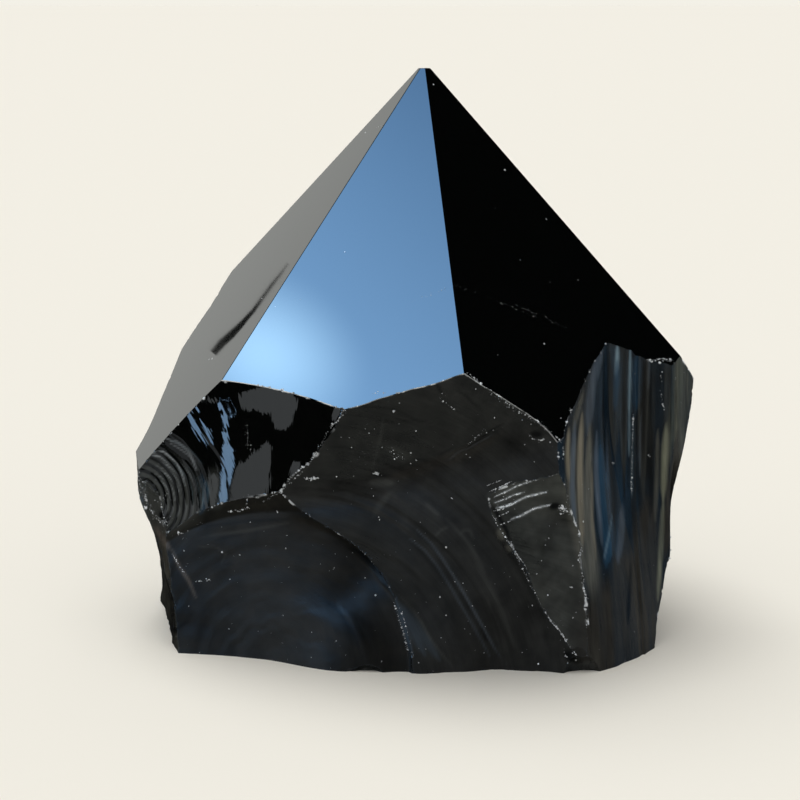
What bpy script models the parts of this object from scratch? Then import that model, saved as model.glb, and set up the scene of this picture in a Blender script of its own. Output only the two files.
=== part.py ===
"""Obsidian point: a hand-sized chunk of black volcanic glass with a polished five-sided tip.

The stone is one solid. A block is cut by five flat polished facets that meet at the tip, by a
small flat on the tip and by the flat sawn foot. Its rough base is then broken away by fracture
scars: each scar is a cutter whose inner face is a shallow relief of bowls, ripples, flutes and
ledges, as glass breaks. Lengths in the tables are millimetres and angles are degrees.
"""

import bmesh
import bpy
from math import atan2, cos, degrees, exp, hypot, pi, radians, sin, tan
from mathutils import Vector, noise

MM = 0.001

# Driving dimensions
STONE_HEIGHT = 100.0
APEX_HEIGHT = 101.2
TIP_AXIS = Vector((1.81, -7.8, 0.0))    # the tip's upright axis, from the middle of the foot
BLOCK_WIDTH, BLOCK_DEPTH = 116.0, 96.0  # the rough block that the stone is broken from
CUTTER_BACK = 46.0                      # how far a cutter reaches outside its scar
RELIEF_LIMIT = 30.0                     # highest relief that a cutter carries
WELD_DISTANCE = 0.05                    # points closer than this become one
BROW_OVERHANG = 23.5                    # how far the brow leans out from upright
BROW_FOOT = 19.5                        # height on the front face where the brow begins

# Where the blows fell, on the plane of each scar
LEFT_BLOW = (-41.0, 0.0)
FRONT_BLOW = (-20.0, -27.0)
LOW_BLOW = (-19.1, -17.9)
RIGHT_BLOW = (14.0, 40.0)
BACK_BLOW = (6.0, 32.0)
BACK_STEP_BLOW = (30.0, -30.0)
BACK_RIGHT_BLOW = (-8.0, 36.0)

# Polished facets: the compass direction each one faces, and its slope from level
FACETS = {
    "front": (-112.5, 60.7),
    "right": (-52.5, 59.0),
    "left": (-162.5, 54.05),
    "back_left": (110.0, 52.8),
    "back_right": (20.0, 51.1),
}

POLISHED, BROKEN = 0, 1                 # places of the two materials


def smooth_step(x, low, high):
    t = min(max((x - low) / (high - low), 0.0), 1.0)
    return t * t * (3.0 - 2.0 * t)


def smooth_max(a, b, width):
    t = min(max(0.5 + 0.5 * (a - b) / width, 0.0), 1.0)
    return b + (a - b) * t + width * t * (1.0 - t)


def bowl(u, v, centre_u, centre_v, radius_u, radius_v):
    """Height of a shallow bowl that curves outwards away from its centre."""
    return (u - centre_u) ** 2 / (2.0 * radius_u) + (v - centre_v) ** 2 / (2.0 * radius_v)


def bump(x, width):
    return exp(-((x / width) ** 2))


def waves_across(u, *waves):
    """Sum of upright swells, each given by its height, its place and its width."""
    return sum(height * bump(u - place, width) for height, place, width in waves)


def wobble(u, v, size, seed):
    """Slow natural unevenness, from -1 to 1."""
    return noise.noise(Vector((u / size, v / size, seed)))


def reach_from(blow, u, v):
    return hypot(u - blow[0], v - blow[1])


def rings(blow, u, v, spacing, height):
    """Round waves about the point where the blow fell."""
    return height * sin(reach_from(blow, u, v) * 2.0 * pi / spacing)


# Reliefs: outward height over a scar's plane, u to its right and v up


def left_bowl(u, v):
    """Glossy bowl with rings about the blow at its left corner, and long lances."""
    depth, middle_u, middle_v, half_width, half_height = 1.6, -19.0, 10.0, 22.0, 14.0
    lip_middle, lip_reach, lip_slope = (-36.0, 31.0), 37.2, 0.9
    ring_spacing, ring_height, rings_end = 5.2, 0.35, (16.0, 28.0)
    lance_height, lances_per_radian, lances_start = 0.3, 22.0, (12.0, 34.0)
    dish = depth * (((u - middle_u) / half_width) ** 2 + ((v - middle_v) / half_height) ** 2 - 1.0)
    lip = lip_slope * max(reach_from(lip_middle, u, v) - lip_reach, 0.0)
    reach = reach_from(LEFT_BLOW, u, v)
    bearing = atan2(v - LEFT_BLOW[1], u - LEFT_BLOW[0])
    near = rings(LEFT_BLOW, u, v, ring_spacing, ring_height) * (1.0 - smooth_step(reach, *rings_end))
    lances = lance_height * sin(bearing * lances_per_radian + 0.4) * smooth_step(reach, *lances_start)
    return dish + lip + near + lances


def front_face(u, v):
    """Overhanging brow that bends into the tall middle face with its curved hackles."""
    bend, unevenness = 3.0, 0.3
    steepest, mildest, lean_change = 0.32, 0.03, 0.006
    foot_top, foot_reach = -22.0, 3.2
    flare, bulge, recess = (3.7, -12.4, 10.6), (0.9, 4.0, 6.0), (1.2, 15.0, 7.0)
    hackle_spacing, hackle_height, hackles_end = 8.0, -0.25, (-16.0, -4.0)
    brow = tan(radians(BROW_OVERHANG)) * (v - BROW_FOOT) + unevenness * wobble(u, v * 1.6, 6.0, 3.0)
    lean = min(max(0.17 - lean_change * (u - 5.0), mildest), steepest)
    foot = waves_across(u, flare, bulge) - waves_across(u, recess)
    middle = foot_reach - lean * (v - foot_top) + foot * smooth_step(-v, 6.0, 24.0)
    hackles = rings(FRONT_BLOW, u, v, hackle_spacing, hackle_height) * smooth_step(-v, *hackles_end)
    return smooth_max(brow, middle + hackles, bend)


def front_under(u, v):
    """Height of the front face over the low bowl's plane, found by stepping towards it."""
    steps = 6
    middle, right, up, out = scar_frame(*SCARS["low_bowl"][1:5])
    front, front_right, front_up, front_out = scar_frame(*SCARS["front_face"][1:5])
    start, rise = middle + right * u + up * v - front, 0.0
    for _ in range(steps):
        place = start + out * rise
        gap = place.dot(front_out) - front_face(place.dot(front_right), place.dot(front_up))
        rise -= gap / out.dot(front_out)
    return rise


def low_bowl(u, v):
    """Wide low bowl that flares at its foot; on its right a crescent ledge cuts into the front face."""
    ledge_reach, ledge_depth, ledge_bearing, ledge_width = 25.2, 0.8, 46.0, 10.0
    hollow_start, wall_width, edge_slope, outside_slope, outside_end = 12.0, 0.8, 0.13, 0.9, (70.0, 90.0)
    inner_height, inner_reach, inner_end, inner_turn = 0.35, (17.4, 19.0), (20.0, 24.0), (46.0, 62.0)
    rim_middle, rim_reach, rim_slope, rim_stretch = (-15.0, -16.0), 24.6, 0.8, 0.7
    flare, flare_u, flare_width = 3.7, -6.0, 11.0
    join_width = 0.8
    reach = reach_from(LOW_BLOW, u, v)
    bearing = degrees(atan2(v - LOW_BLOW[1], u - LOW_BLOW[0]))
    twist = 0.008 * min(u + 10.0, 0.0) * (v + 14.0) - 0.12 * max(u + 10.0, 0.0)
    from_left, from_foot = min(u - rim_middle[0], 0.0), v - rim_middle[1]
    rim = rim_slope * max(hypot(rim_stretch * from_left, from_foot) - rim_reach, 0.0)
    foot = flare * bump(u - flare_u, flare_width) * smooth_step(-v, -4.0, 14.0)
    own = twist + bowl(u, v, -15.0, -6.0, 160.0, 160.0) - 1.2 + foot + rim
    edge = front_under(u, v) - edge_slope * (ledge_reach - reach)
    ledge = ledge_depth * bump(bearing - ledge_bearing, ledge_width)
    ledge *= smooth_step(reach, ledge_reach - hollow_start, ledge_reach - 2.0)
    ledge *= 1.0 - smooth_step(reach, ledge_reach - wall_width, ledge_reach)
    outside = outside_slope * max(reach - ledge_reach, 0.0) * (1.0 - smooth_step(abs(bearing), *outside_end))
    inner = inner_height * smooth_step(reach + 0.05 * bearing, *inner_reach)
    inner *= (1.0 - smooth_step(reach, *inner_end)) * (1.0 - smooth_step(abs(bearing), *inner_turn))
    return -smooth_max(-own, -edge, join_width) + outside - ledge + inner


def wedge_face(u, v):
    """Narrow face between the middle ridge and the pillar."""
    top_foot, top_slope, top_skew, unevenness = 9.5, 0.6, 0.3, 0.25
    set_in, swell, swell_top, swell_full = 1.2, 2.25, -8.0, 8.0
    top = smooth_max(0.0, top_slope * (v - top_foot) + top_skew * u, 1.0)
    low = swell * smooth_step(-v, swell_top, swell_full) - set_in
    return bowl(u, v, 14.0, 0.0, 150.0, 150.0) + top + low + unevenness * wobble(u, v, 5.0, 8.0)


def pillar(u, v):
    """Upright scallop, steep on its left, with flutes that run down it to a rounded foot."""
    depth, edge_u, deepest_u, far_slope = 5.1, -2.5, 14.7, 0.26
    foot_bulge, foot_u, foot_width = 3.0, 8.0, 8.5
    heel, heel_top, heel_foot, heel_end = 1.6, 9.0, 32.0, 8.0
    waist, waist_v, waist_width = 0.45, -4.0, 5.0
    across_u, across_out = 0.7314, 0.682
    wide_flute, narrow_flute = (0.18, 4.6), (0.1, 2.7)
    step_height, step_place = 0.5, 11.6
    bend_place, bend_high, bend_low = 18.6, 0.4, 1.1
    steep = min(max((u - edge_u) / (deepest_u - edge_u), 0.0), 1.0) ** 0.8
    scallop = far_slope * max(u - deepest_u, 0.0) - depth * steep
    hollow = 1.0 - 0.09 * v + scallop * smooth_step(v, -32.0, 12.0)
    across = across_u * u + across_out * hollow
    flutes = wide_flute[0] * sin(across * 2.0 * pi / wide_flute[1])
    flutes += narrow_flute[0] * sin(across * 2.0 * pi / narrow_flute[1] + 1.0)
    step = step_height * smooth_step(across, step_place - 0.4, step_place + 0.4)
    bend = bend_high + (bend_low - bend_high) * smooth_step(-v, -4.0, 10.0)
    foot = foot_bulge * bump(u - foot_u, foot_width) * smooth_step(-v, -12.0, 32.0)
    side = heel * smooth_step(-v, heel_top, heel_foot) - waist * bump(v - waist_v, waist_width)
    foot += side * (1.0 - smooth_step(u, 0.0, heel_end))
    return hollow + flutes + step - bend * max(across - bend_place, 0.0) + foot


def right_side(u, v):
    """Side that is hollow across, and set back below its middle."""
    ring_spacing, ring_height, rings_start = 9.0, 0.3, (8.0, 20.0)
    set_back = 1.25
    ripples = rings(RIGHT_BLOW, u, v, ring_spacing, ring_height)
    ripples *= smooth_step(reach_from(RIGHT_BLOW, u, v), *rings_start)
    return bowl(u, v, 2.0, 0.0, 90.0, -170.0) - 0.4 - set_back * smooth_step(-v, -12.0, 4.0) + ripples


def left_corner(u, v):
    overhang_foot = 10.0
    return bowl(u, v, -35.0, -5.0, 60.0, 80.0) - 0.2 + max(v - overhang_foot, 0.0)


def left_flank(u, v):
    """Side with a shallow waist high up and another near its foot."""
    upper_waist, upper_v, upper_width = 1.2, -3.0, 5.0
    lower_waist, lower_v, lower_width = 2.1, -31.0, 10.0
    waists = upper_waist * bump(v - upper_v, upper_width) + lower_waist * bump(v - lower_v, lower_width)
    return bowl(u, v, 0.0, -6.0, 110.0, 110.0) - 0.3 + 0.4 * wobble(u, v, 7.0, 1.0) - waists


def left_notch(u, v):
    """Notch below the left corner, undercut beneath a small brow."""
    brow, brow_span, unevenness = 1.2, (1.0, 9.0), 0.5
    undercut = 0.8 * bump(v + 3.0, 6.0) + 1.0 * bump(v + 10.0, 5.0)
    return brow * smooth_step(v, *brow_span) - undercut + unevenness * wobble(u, v, 6.0, 5.0)


def back_bowl(u, v):
    return bowl(u, v, 0.0, -10.0, 80.0, 90.0) - 0.8 + rings(BACK_BLOW, u, v, 11.0, 0.3)


def back_step(u, v):
    return bowl(u, v, 4.0, -4.0, 70.0, 110.0) - 1.5 + rings(BACK_STEP_BLOW, u, v, 9.0, 0.3)


def back_right_bowl(u, v):
    return bowl(u, v, 0.0, 0.0, 70.0, 110.0) - 1.0 + rings(BACK_RIGHT_BLOW, u, v, 8.5, 0.3)


def square_patch(span_u, span_v, step_u, step_v):
    """Points and triangles of a patch in straight rows."""
    columns = round((span_u[1] - span_u[0]) / step_u)
    rows = round((span_v[1] - span_v[0]) / step_v)
    points = []
    for j in range(rows + 1):
        v = span_v[0] + (span_v[1] - span_v[0]) * j / rows
        points += [(span_u[0] + (span_u[1] - span_u[0]) * i / columns, v) for i in range(columns + 1)]
    return points, grid_triangles(rows, columns, closed=False)


def ring_patch(blow, reach, ring_step, bearing_step):
    """Points and triangles of a round patch in rings about the point where the blow fell."""
    rows = round(reach / ring_step)
    columns = round(360.0 / bearing_step)
    points = []
    for j in range(1, rows + 1):
        for i in range(columns):
            angle = 2.0 * pi * i / columns
            points.append((blow[0] + j * ring_step * cos(angle), blow[1] + j * ring_step * sin(angle)))
    triangles = grid_triangles(rows - 1, columns, closed=True)
    points.append(blow)
    triangles += [(len(points) - 1, i, (i + 1) % columns) for i in range(columns)]
    return points, triangles


def grid_triangles(rows, columns, closed):
    width = columns if closed else columns + 1
    triangles = []
    for j in range(rows):
        for i in range(columns):
            a, b = j * width + i, j * width + (i + 1) % width
            triangles += [(a, b, b + width), (a, b + width, a + width)]
    return triangles


# Scars: relief, direction faced, overhang, distance of the plane from the tip axis, height of
# its middle, and the patch that carries the relief
SCARS = {
    "front_face": (
        front_face, -93.0, 0.0, 27.6, 22.0,
        ring_patch(FRONT_BLOW, 72.0, 2.0, 3.6),
    ),
    "left_bowl": (
        left_bowl, -115.3, 0.5, 31.0, 25.0,
        ring_patch(LEFT_BLOW, 58.5, 1.3, 4.0),
    ),
    "low_bowl": (
        low_bowl, -106.0, -10.0, 29.3, 12.0,
        ring_patch(LOW_BLOW, 37.8, 1.4, 6.0),
    ),
    "wedge_face": (
        wedge_face, -80.0, -8.0, 30.9, 20.0,
        square_patch((-8.0, 44.0), (-28.0, 34.0), 2.6, 2.4),
    ),
    "pillar": (
        pillar, -47.0, 0.0, 36.5, 30.0,
        square_patch((-14.0, 46.0), (-34.0, 34.0), 1.0, 4.0),
    ),
    "right_side": (
        right_side, 15.0, 24.0, 37.7, 25.0,
        ring_patch(RIGHT_BLOW, 84.0, 2.4, 4.5),
    ),
    "left_corner": (
        left_corner, -135.0, -8.0, 41.5, 10.0,
        square_patch((-40.0, 30.0), (-30.0, 26.0), 3.0, 3.0),
    ),
    "back_bowl": (
        back_bowl, 122.0, -3.0, 30.5, 45.0,
        ring_patch(BACK_BLOW, 92.4, 2.8, 5.0),
    ),
    "back_step": (
        back_step, 92.0, 8.0, 33.5, 18.0,
        ring_patch(BACK_STEP_BLOW, 88.4, 2.6, 5.0),
    ),
    "left_flank": (
        left_flank, 158.0, 0.0, 46.5, 38.0,
        square_patch((-40.0, 36.0), (-44.0, 36.0), 2.8, 2.8),
    ),
    "left_notch": (
        left_notch, -168.0, 6.0, 49.2, 20.0,
        square_patch((-26.0, 30.0), (-24.0, 26.0), 2.8, 2.8),
    ),
    "back_right_bowl": (
        back_right_bowl, 52.0, 5.0, 38.5, 20.0,
        ring_patch(BACK_RIGHT_BLOW, 79.2, 2.4, 4.5),
    ),
}

# Small chips: middle and radius of the ball that bit each one out
CHIPS = {
    "corner_crush": ((-56.2, -12.4, 24.0), 7.6),
    "foot_notch": ((27.2, -36.2, -0.6), 5.6),
    "foot_chip_left": ((-10.6, -36.2, -3.4), 6.6),
    "foot_chip_corner": ((43.4, -26.0, -3.0), 6.6),
    "shoulder_crush": ((49.6, -10.4, 54.6), 7.4),
    "back_foot_chip": ((2.0, 41.0, -3.0), 7.5),
}


def clear_scene():
    for old in list(bpy.data.objects):
        bpy.data.objects.remove(old, do_unlink=True)


def obsidian_material(name, roughness):
    material = bpy.data.materials.new(name)
    material.use_nodes = True
    shader = material.node_tree.nodes["Principled BSDF"]
    shader.inputs["Base Color"].default_value = (0.006, 0.006, 0.007, 1.0)
    shader.inputs["Roughness"].default_value = roughness
    shader.inputs["Metallic"].default_value = 0.0
    shader.inputs["IOR"].default_value = 1.5
    return material


def add_object(name, mesh, materials):
    for material in materials:
        mesh.materials.append(material)
    thing = bpy.data.objects.new(name, mesh)
    bpy.context.scene.collection.objects.link(thing)
    return thing


def cut_flat(bm, point, normal):
    """Cut the closed mesh by a plane, drop what lies outside it and close the hole."""
    everything = bm.verts[:] + bm.edges[:] + bm.faces[:]
    cut = bmesh.ops.bisect_plane(
        bm, geom=everything, plane_co=point, plane_no=normal, clear_outer=True, dist=1e-7
    )
    rim = [item for item in cut["geom_cut"] if isinstance(item, bmesh.types.BMEdge)]
    bmesh.ops.contextual_create(bm, geom=rim)


def faceted_block(materials):
    """Block with the five polished facets, the flat on the tip and the sawn foot."""
    bm = bmesh.new()
    bmesh.ops.create_cube(bm, size=1.0)
    size = Vector((BLOCK_WIDTH, BLOCK_DEPTH, 2.5 * STONE_HEIGHT)) * MM
    bmesh.ops.scale(bm, verts=bm.verts, vec=size)
    apex = (TIP_AXIS + Vector((0.0, 0.0, APEX_HEIGHT))) * MM
    for faces, slope in FACETS.values():
        level = sin(radians(slope))
        normal = (level * cos(radians(faces)), level * sin(radians(faces)), cos(radians(slope)))
        cut_flat(bm, apex, normal)
    cut_flat(bm, (0.0, 0.0, STONE_HEIGHT * MM), (0.0, 0.0, 1.0))
    cut_flat(bm, (0.0, 0.0, 0.0), (0.0, 0.0, -1.0))
    bmesh.ops.recalc_face_normals(bm, faces=bm.faces)
    mesh = bpy.data.meshes.new("obsidian_chunk")
    bm.to_mesh(mesh)
    bm.free()
    return add_object("obsidian_chunk", mesh, materials)


def scar_frame(faces, overhang, reach, height):
    """Middle of a scar's plane, and its right, up and outward directions."""
    a, t = radians(faces), radians(overhang)
    out = Vector((cos(t) * cos(a), cos(t) * sin(a), -sin(t)))
    right = Vector((-sin(a), cos(a), 0.0))
    middle = TIP_AXIS + Vector((0.0, 0.0, height)) + out * reach
    return middle, right, out.cross(right), out


def scar_cutter(name, scar, materials):
    """Closed slab whose inner face is the scar's relief and whose back is flat."""
    relief, faces, overhang, reach, height, patch = scar
    middle, right, up, out = scar_frame(faces, overhang, reach, height)
    points, triangles = patch
    bm = bmesh.new()
    verts = []
    for u, v in points:
        rise = min(relief(u, v), RELIEF_LIMIT)
        verts.append(bm.verts.new((middle + right * u + up * v + out * rise) * MM))
    for triangle in triangles:
        bm.faces.new([verts[i] for i in triangle])
    rim = [edge for edge in bm.edges if edge.is_boundary]
    walls = bmesh.ops.extrude_edge_only(bm, edges=rim)["geom"]
    for vert in [item for item in walls if isinstance(item, bmesh.types.BMVert)]:
        vert.co += out * (CUTTER_BACK * MM - (vert.co - middle * MM).dot(out))
    bmesh.ops.holes_fill(bm, edges=[edge for edge in bm.edges if edge.is_boundary], sides=0)
    bmesh.ops.recalc_face_normals(bm, faces=bm.faces)
    for face in bm.faces:
        face.material_index = BROKEN
    mesh = bpy.data.meshes.new(name)
    bm.to_mesh(mesh)
    bm.free()
    return add_object(name + "_cutter", mesh, materials)


def chip_cutter(name, chip, materials):
    """Ball that bites a small shell-shaped chip out of an edge."""
    centre, radius = chip
    bm = bmesh.new()
    bmesh.ops.create_icosphere(bm, subdivisions=3, radius=radius * MM)
    bmesh.ops.translate(bm, verts=bm.verts, vec=(Vector(centre) + TIP_AXIS) * MM)
    for face in bm.faces:
        face.material_index = BROKEN
    mesh = bpy.data.meshes.new(name)
    bm.to_mesh(mesh)
    bm.free()
    return add_object(name + "_cutter", mesh, materials)


def break_away(stone, cutter):
    cutter.hide_render = True
    cutter.display_type = "WIRE"
    cut = stone.modifiers.new(cutter.name, "BOOLEAN")
    cut.operation = "DIFFERENCE"
    cut.solver = "EXACT"
    cut.object = cutter


def weld_slivers(stone):
    weld = stone.modifiers.new("weld", "WELD")
    weld.merge_threshold = WELD_DISTANCE * MM


def main():
    clear_scene()
    materials = [obsidian_material("polished", 0.05), obsidian_material("broken", 0.22)]
    stone = faceted_block(materials)
    for name, scar in SCARS.items():
        break_away(stone, scar_cutter(name, scar, materials))
    for name, chip in CHIPS.items():
        break_away(stone, chip_cutter(name, chip, materials))
    weld_slivers(stone)


main()
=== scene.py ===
"""Obsidian point, dressed: polished tip facets, shell-shaped fracture scars, edge chips and crushed flakes.

The stone is broken again from the same block as its solid, on a finer grain: every scar gets its small
rings, lances, hackles and flutes, and its ridges get chips and crushed flakes. Lengths in the tables are
millimetres and angles are degrees, in the solid's own frame.
"""

from collections import namedtuple
from math import atan2, cos, degrees, exp, hypot, pi, radians, sin, tan

import bmesh
import bpy
import numpy as np
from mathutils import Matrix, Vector, kdtree, noise
from mathutils.bvhtree import BVHTree


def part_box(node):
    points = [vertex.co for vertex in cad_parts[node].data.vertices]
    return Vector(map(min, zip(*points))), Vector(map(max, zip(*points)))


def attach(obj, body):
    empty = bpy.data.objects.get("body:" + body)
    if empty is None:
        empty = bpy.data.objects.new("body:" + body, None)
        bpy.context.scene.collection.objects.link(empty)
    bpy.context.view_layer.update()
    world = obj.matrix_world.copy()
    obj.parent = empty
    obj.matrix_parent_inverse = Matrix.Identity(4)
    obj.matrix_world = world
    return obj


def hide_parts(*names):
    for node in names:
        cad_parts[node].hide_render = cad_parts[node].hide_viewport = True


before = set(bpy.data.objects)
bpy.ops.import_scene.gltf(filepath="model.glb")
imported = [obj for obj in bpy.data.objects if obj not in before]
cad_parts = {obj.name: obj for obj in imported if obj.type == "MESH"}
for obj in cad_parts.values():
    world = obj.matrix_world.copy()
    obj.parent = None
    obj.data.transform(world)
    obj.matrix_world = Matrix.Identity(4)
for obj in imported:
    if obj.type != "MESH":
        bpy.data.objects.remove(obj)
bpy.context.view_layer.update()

bl_info = {
    "name": "Obsidian Point",
    "version": (1, 0, 0),
    "blender": (4, 5, 0),
    "location": "View3D > Sidebar > Obsidian",
    "description": "Dresses an obsidian point: polished facets, fracture scars, chips and flakes",
    "category": "Object",
}

MM = 0.001
NODE = "obsidian_chunk"
STONE = "obsidian_stone"
STONE_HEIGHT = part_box(NODE)[1].z / MM

APEX_HEIGHT = 101.2
TIP_AXIS = Vector((1.81, -7.8, 0.0))
BLOCK_WIDTH, BLOCK_DEPTH = 116.0, 96.0
CUTTER_BACK = 46.0
RELIEF_LIMIT = 30.0
BROW_OVERHANG = 23.5
BROW_FOOT = 19.5

# Ridges flatter than this angle show no wear. Nor do the ridges near the foot, those low on the left corner,
# those of the left facet, which hardly faces forward, and those of the right facet over the pillar
FLATTEST_RIDGE = 12.0
FOOT_BAND = 2.5
CORNER_END, CORNER_TOP = -39.0, 22.0
PILLAR_START = 26.5
HARDLY_FORWARD, ASIDE = -0.4, 0.3
FRONT_LIMIT = 0.1   # points whose direction reaches further back than this take no strokes

FACETS = {
    "front": (-112.5, 60.7),
    "right": (-52.5, 59.0),
    "left": (-162.5, 54.05),
    "back_left": (110.0, 52.8),
    "back_right": (20.0, 51.1),
}

# Where the blows fell, on the plane of each scar
LEFT_BLOW = (-41.0, 0.0)
LANCE_ROOT = (-16.0, -7.0)
FRONT_BLOW = (-20.0, -27.0)
LOW_BLOW = (-19.1, -17.9)
WEDGE_BLOW = (-14.0, 6.0)
RIGHT_BLOW = (14.0, 40.0)
BACK_BLOW = (6.0, 32.0)
BACK_STEP_BLOW = (30.0, -30.0)
BACK_RIGHT_BLOW = (-8.0, 36.0)
FLAT_BLOW = (0.0, 60.0)


# ---------------------------------------------------------------- shape helpers


def smooth_step(x, low, high):
    t = min(max((x - low) / (high - low), 0.0), 1.0)
    return t * t * (3.0 - 2.0 * t)


def smooth_max(a, b, width):
    t = min(max(0.5 + 0.5 * (a - b) / width, 0.0), 1.0)
    return b + (a - b) * t + width * t * (1.0 - t)


def bowl(u, v, centre_u, centre_v, radius_u, radius_v):
    """Height of a shallow bowl that curves outwards away from its centre."""
    return (u - centre_u) ** 2 / (2.0 * radius_u) + (v - centre_v) ** 2 / (2.0 * radius_v)


def bump(x, width):
    return exp(-((x / width) ** 2))


def humps(x, *given):
    """Sum of humps, each given by its height, place and width."""
    return sum(height * bump(x - place, width) for height, place, width in given)


def wobble(u, v, size, seed):
    """Slow natural unevenness, from -1 to 1."""
    return noise.noise(Vector((u / size, v / size, seed)))


def reach_from(blow, u, v):
    return hypot(u - blow[0], v - blow[1])


def bearing_from(blow, u, v):
    return atan2(v - blow[1], u - blow[0])


def rings(blow, u, v, spacing, height):
    """Round waves about the point where the blow fell."""
    return height * sin(reach_from(blow, u, v) * 2.0 * pi / spacing)


def fine_rings(blow, u, v, spacing, height, seed):
    """Close, uneven rings that come and go round the blow."""
    reach, bearing = reach_from(blow, u, v), bearing_from(blow, u, v)
    warp = 0.6 * wobble(reach * 0.6, bearing * 6.0, 2.0, seed)
    strength = 0.5 + 0.5 * wobble(reach, bearing * 10.0, 5.0, seed + 3.0)
    return height * strength * sin((reach / spacing + warp) * 2.0 * pi)


def streaks(blow, u, v, pitch, height, seed):
    """Lances: fine uneven ribs that run straight away from a point."""
    reach, bearing = reach_from(blow, u, v), bearing_from(blow, u, v)
    return height * wobble(bearing * 20.0, reach * 0.08, pitch, seed)


def groove(u, v, start, end, width, depth):
    """A narrow crack or scratch along a straight line, deepest in its middle."""
    run_u, run_v = end[0] - start[0], end[1] - start[1]
    length = hypot(run_u, run_v)
    along = ((u - start[0]) * run_u + (v - start[1]) * run_v) / length
    off = ((u - start[0]) * run_v - (v - start[1]) * run_u) / length
    inside = smooth_step(along, -0.5, 0.25 * length) * (1.0 - smooth_step(along, 0.7 * length, length + 0.5))
    return -depth * inside * bump(off + 0.35 * wobble(along, 0.0, 2.5, 4.0), width)


# ---------------------------------------------------------------- reliefs

# Each gives the height of a scar over its plane, in mm, at a place across (u) and up (v) from its middle


def left_bowl(u, v):
    """Smooth shallow bowl with rings near its blow, lances further out and a few pits."""
    depth, middle_u, middle_v, half_width, half_height = 1.6, -19.0, 10.0, 22.0, 14.0
    lip_slope, lip_u, lip_v, lip_reach = 0.9, -36.0, 31.0, 37.2
    ring_spacing, ring_height, fine_spacing, fine_height, rings_end = 5.2, 0.05, 1.3, 0.045, (13.0, 22.0)
    lance_pitch, lance_height, lances_start = 0.8, 0.03, (12.0, 24.0)
    pit_height, pit_u, pit_v, pit_spread = 0.25, -20.5, 13.0, 3.2
    dish = depth * (((u - middle_u) / half_width) ** 2 + ((v - middle_v) / half_height) ** 2 - 1.0)
    lip = lip_slope * max(hypot(u - lip_u, v - lip_v) - lip_reach, 0.0)
    reach = reach_from(LEFT_BLOW, u, v)
    near = 1.0 - smooth_step(reach, *rings_end)
    waves = rings(LEFT_BLOW, u, v, ring_spacing, ring_height) * near
    waves += fine_rings(LEFT_BLOW, u, v, fine_spacing, fine_height, 2.0) * near
    lances = streaks(LANCE_ROOT, u, v, lance_pitch, lance_height, 6.0) * smooth_step(reach, *lances_start)
    pits = pit_height * max(wobble(u, v * 1.5, 0.9, 8.0) - 0.25, 0.0)
    pits *= bump(hypot(u - pit_u, v - pit_v), pit_spread)
    return dish + lip + waves + lances + pits


def front_face(u, v):
    """Overhanging brow with a crack, over a face of hackles with a pair of thin ribs."""
    bend, unevenness = 2.4, 0.3
    band_height, bands_end = 0.1, (-6.0, 8.0)
    crush_height, crush_u, crush_v, crush_spread = 0.12, -4.0, 14.0, 5.0
    crack_start, crack_end, crack_width, crack_depth = (3.9, 13.3), (14.7, 20.3), 0.28, 0.28
    mildest, usual_lean, steepest, lean_change = 0.03, 0.17, 0.32, 0.006
    foot_top, foot_reach, foot_span = -22.0, 3.2, (6.0, 24.0)
    flare, bulge, recess = (3.7, -12.4, 10.6), (0.9, 4.0, 6.0), (-1.2, 15.0, 7.0)
    hackle_spacing, hackle_height, fine_spacing, fine_height = 8.0, -0.2, 2.6, 0.07
    first_rib, second_rib, hackles_span = (0.14, 34.0, 0.45), (0.12, 36.0, 0.4), (-16.0, -4.0)
    brow = tan(radians(BROW_OVERHANG)) * (v - BROW_FOOT) + unevenness * wobble(u, v * 1.6, 6.0, 3.0)
    brow += band_height * wobble(u * 0.22, v, 1.1, 5.0) * (1.0 - smooth_step(u, *bands_end))
    crush = crush_height * max(wobble(u, v, 0.9, 9.0), 0.0)
    brow += crush * bump(hypot(u - crush_u, v - crush_v), crush_spread)
    crack = groove(u, v, crack_start, crack_end, crack_width, crack_depth)
    lean = min(max(usual_lean - lean_change * (u - 5.0), mildest), steepest)
    foot = humps(u, flare, bulge, recess) * smooth_step(-v, *foot_span)
    middle = foot_reach - lean * (v - foot_top) + foot
    hackles = rings(FRONT_BLOW, u, v, hackle_spacing, hackle_height)
    hackles += fine_rings(FRONT_BLOW, u, v, fine_spacing, fine_height, 1.0)
    hackles += humps(reach_from(FRONT_BLOW, u, v), first_rib, second_rib)
    return smooth_max(brow, middle + hackles * smooth_step(-v, *hackles_span), bend) + crack


def front_under(u, v):
    """Height of the front face over the low bowl's plane, found by stepping towards it."""
    steps = 6
    middle, right, up, out = scar_frame(SCARS["low_bowl"])
    front, front_right, front_up, front_out = scar_frame(SCARS["front_face"])
    start, rise = middle + right * u + up * v - front, 0.0
    for _ in range(steps):
        place = start + out * rise
        gap = place.dot(front_out) - front_face(place.dot(front_right), place.dot(front_up))
        rise -= gap / out.dot(front_out)
    return rise


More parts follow.
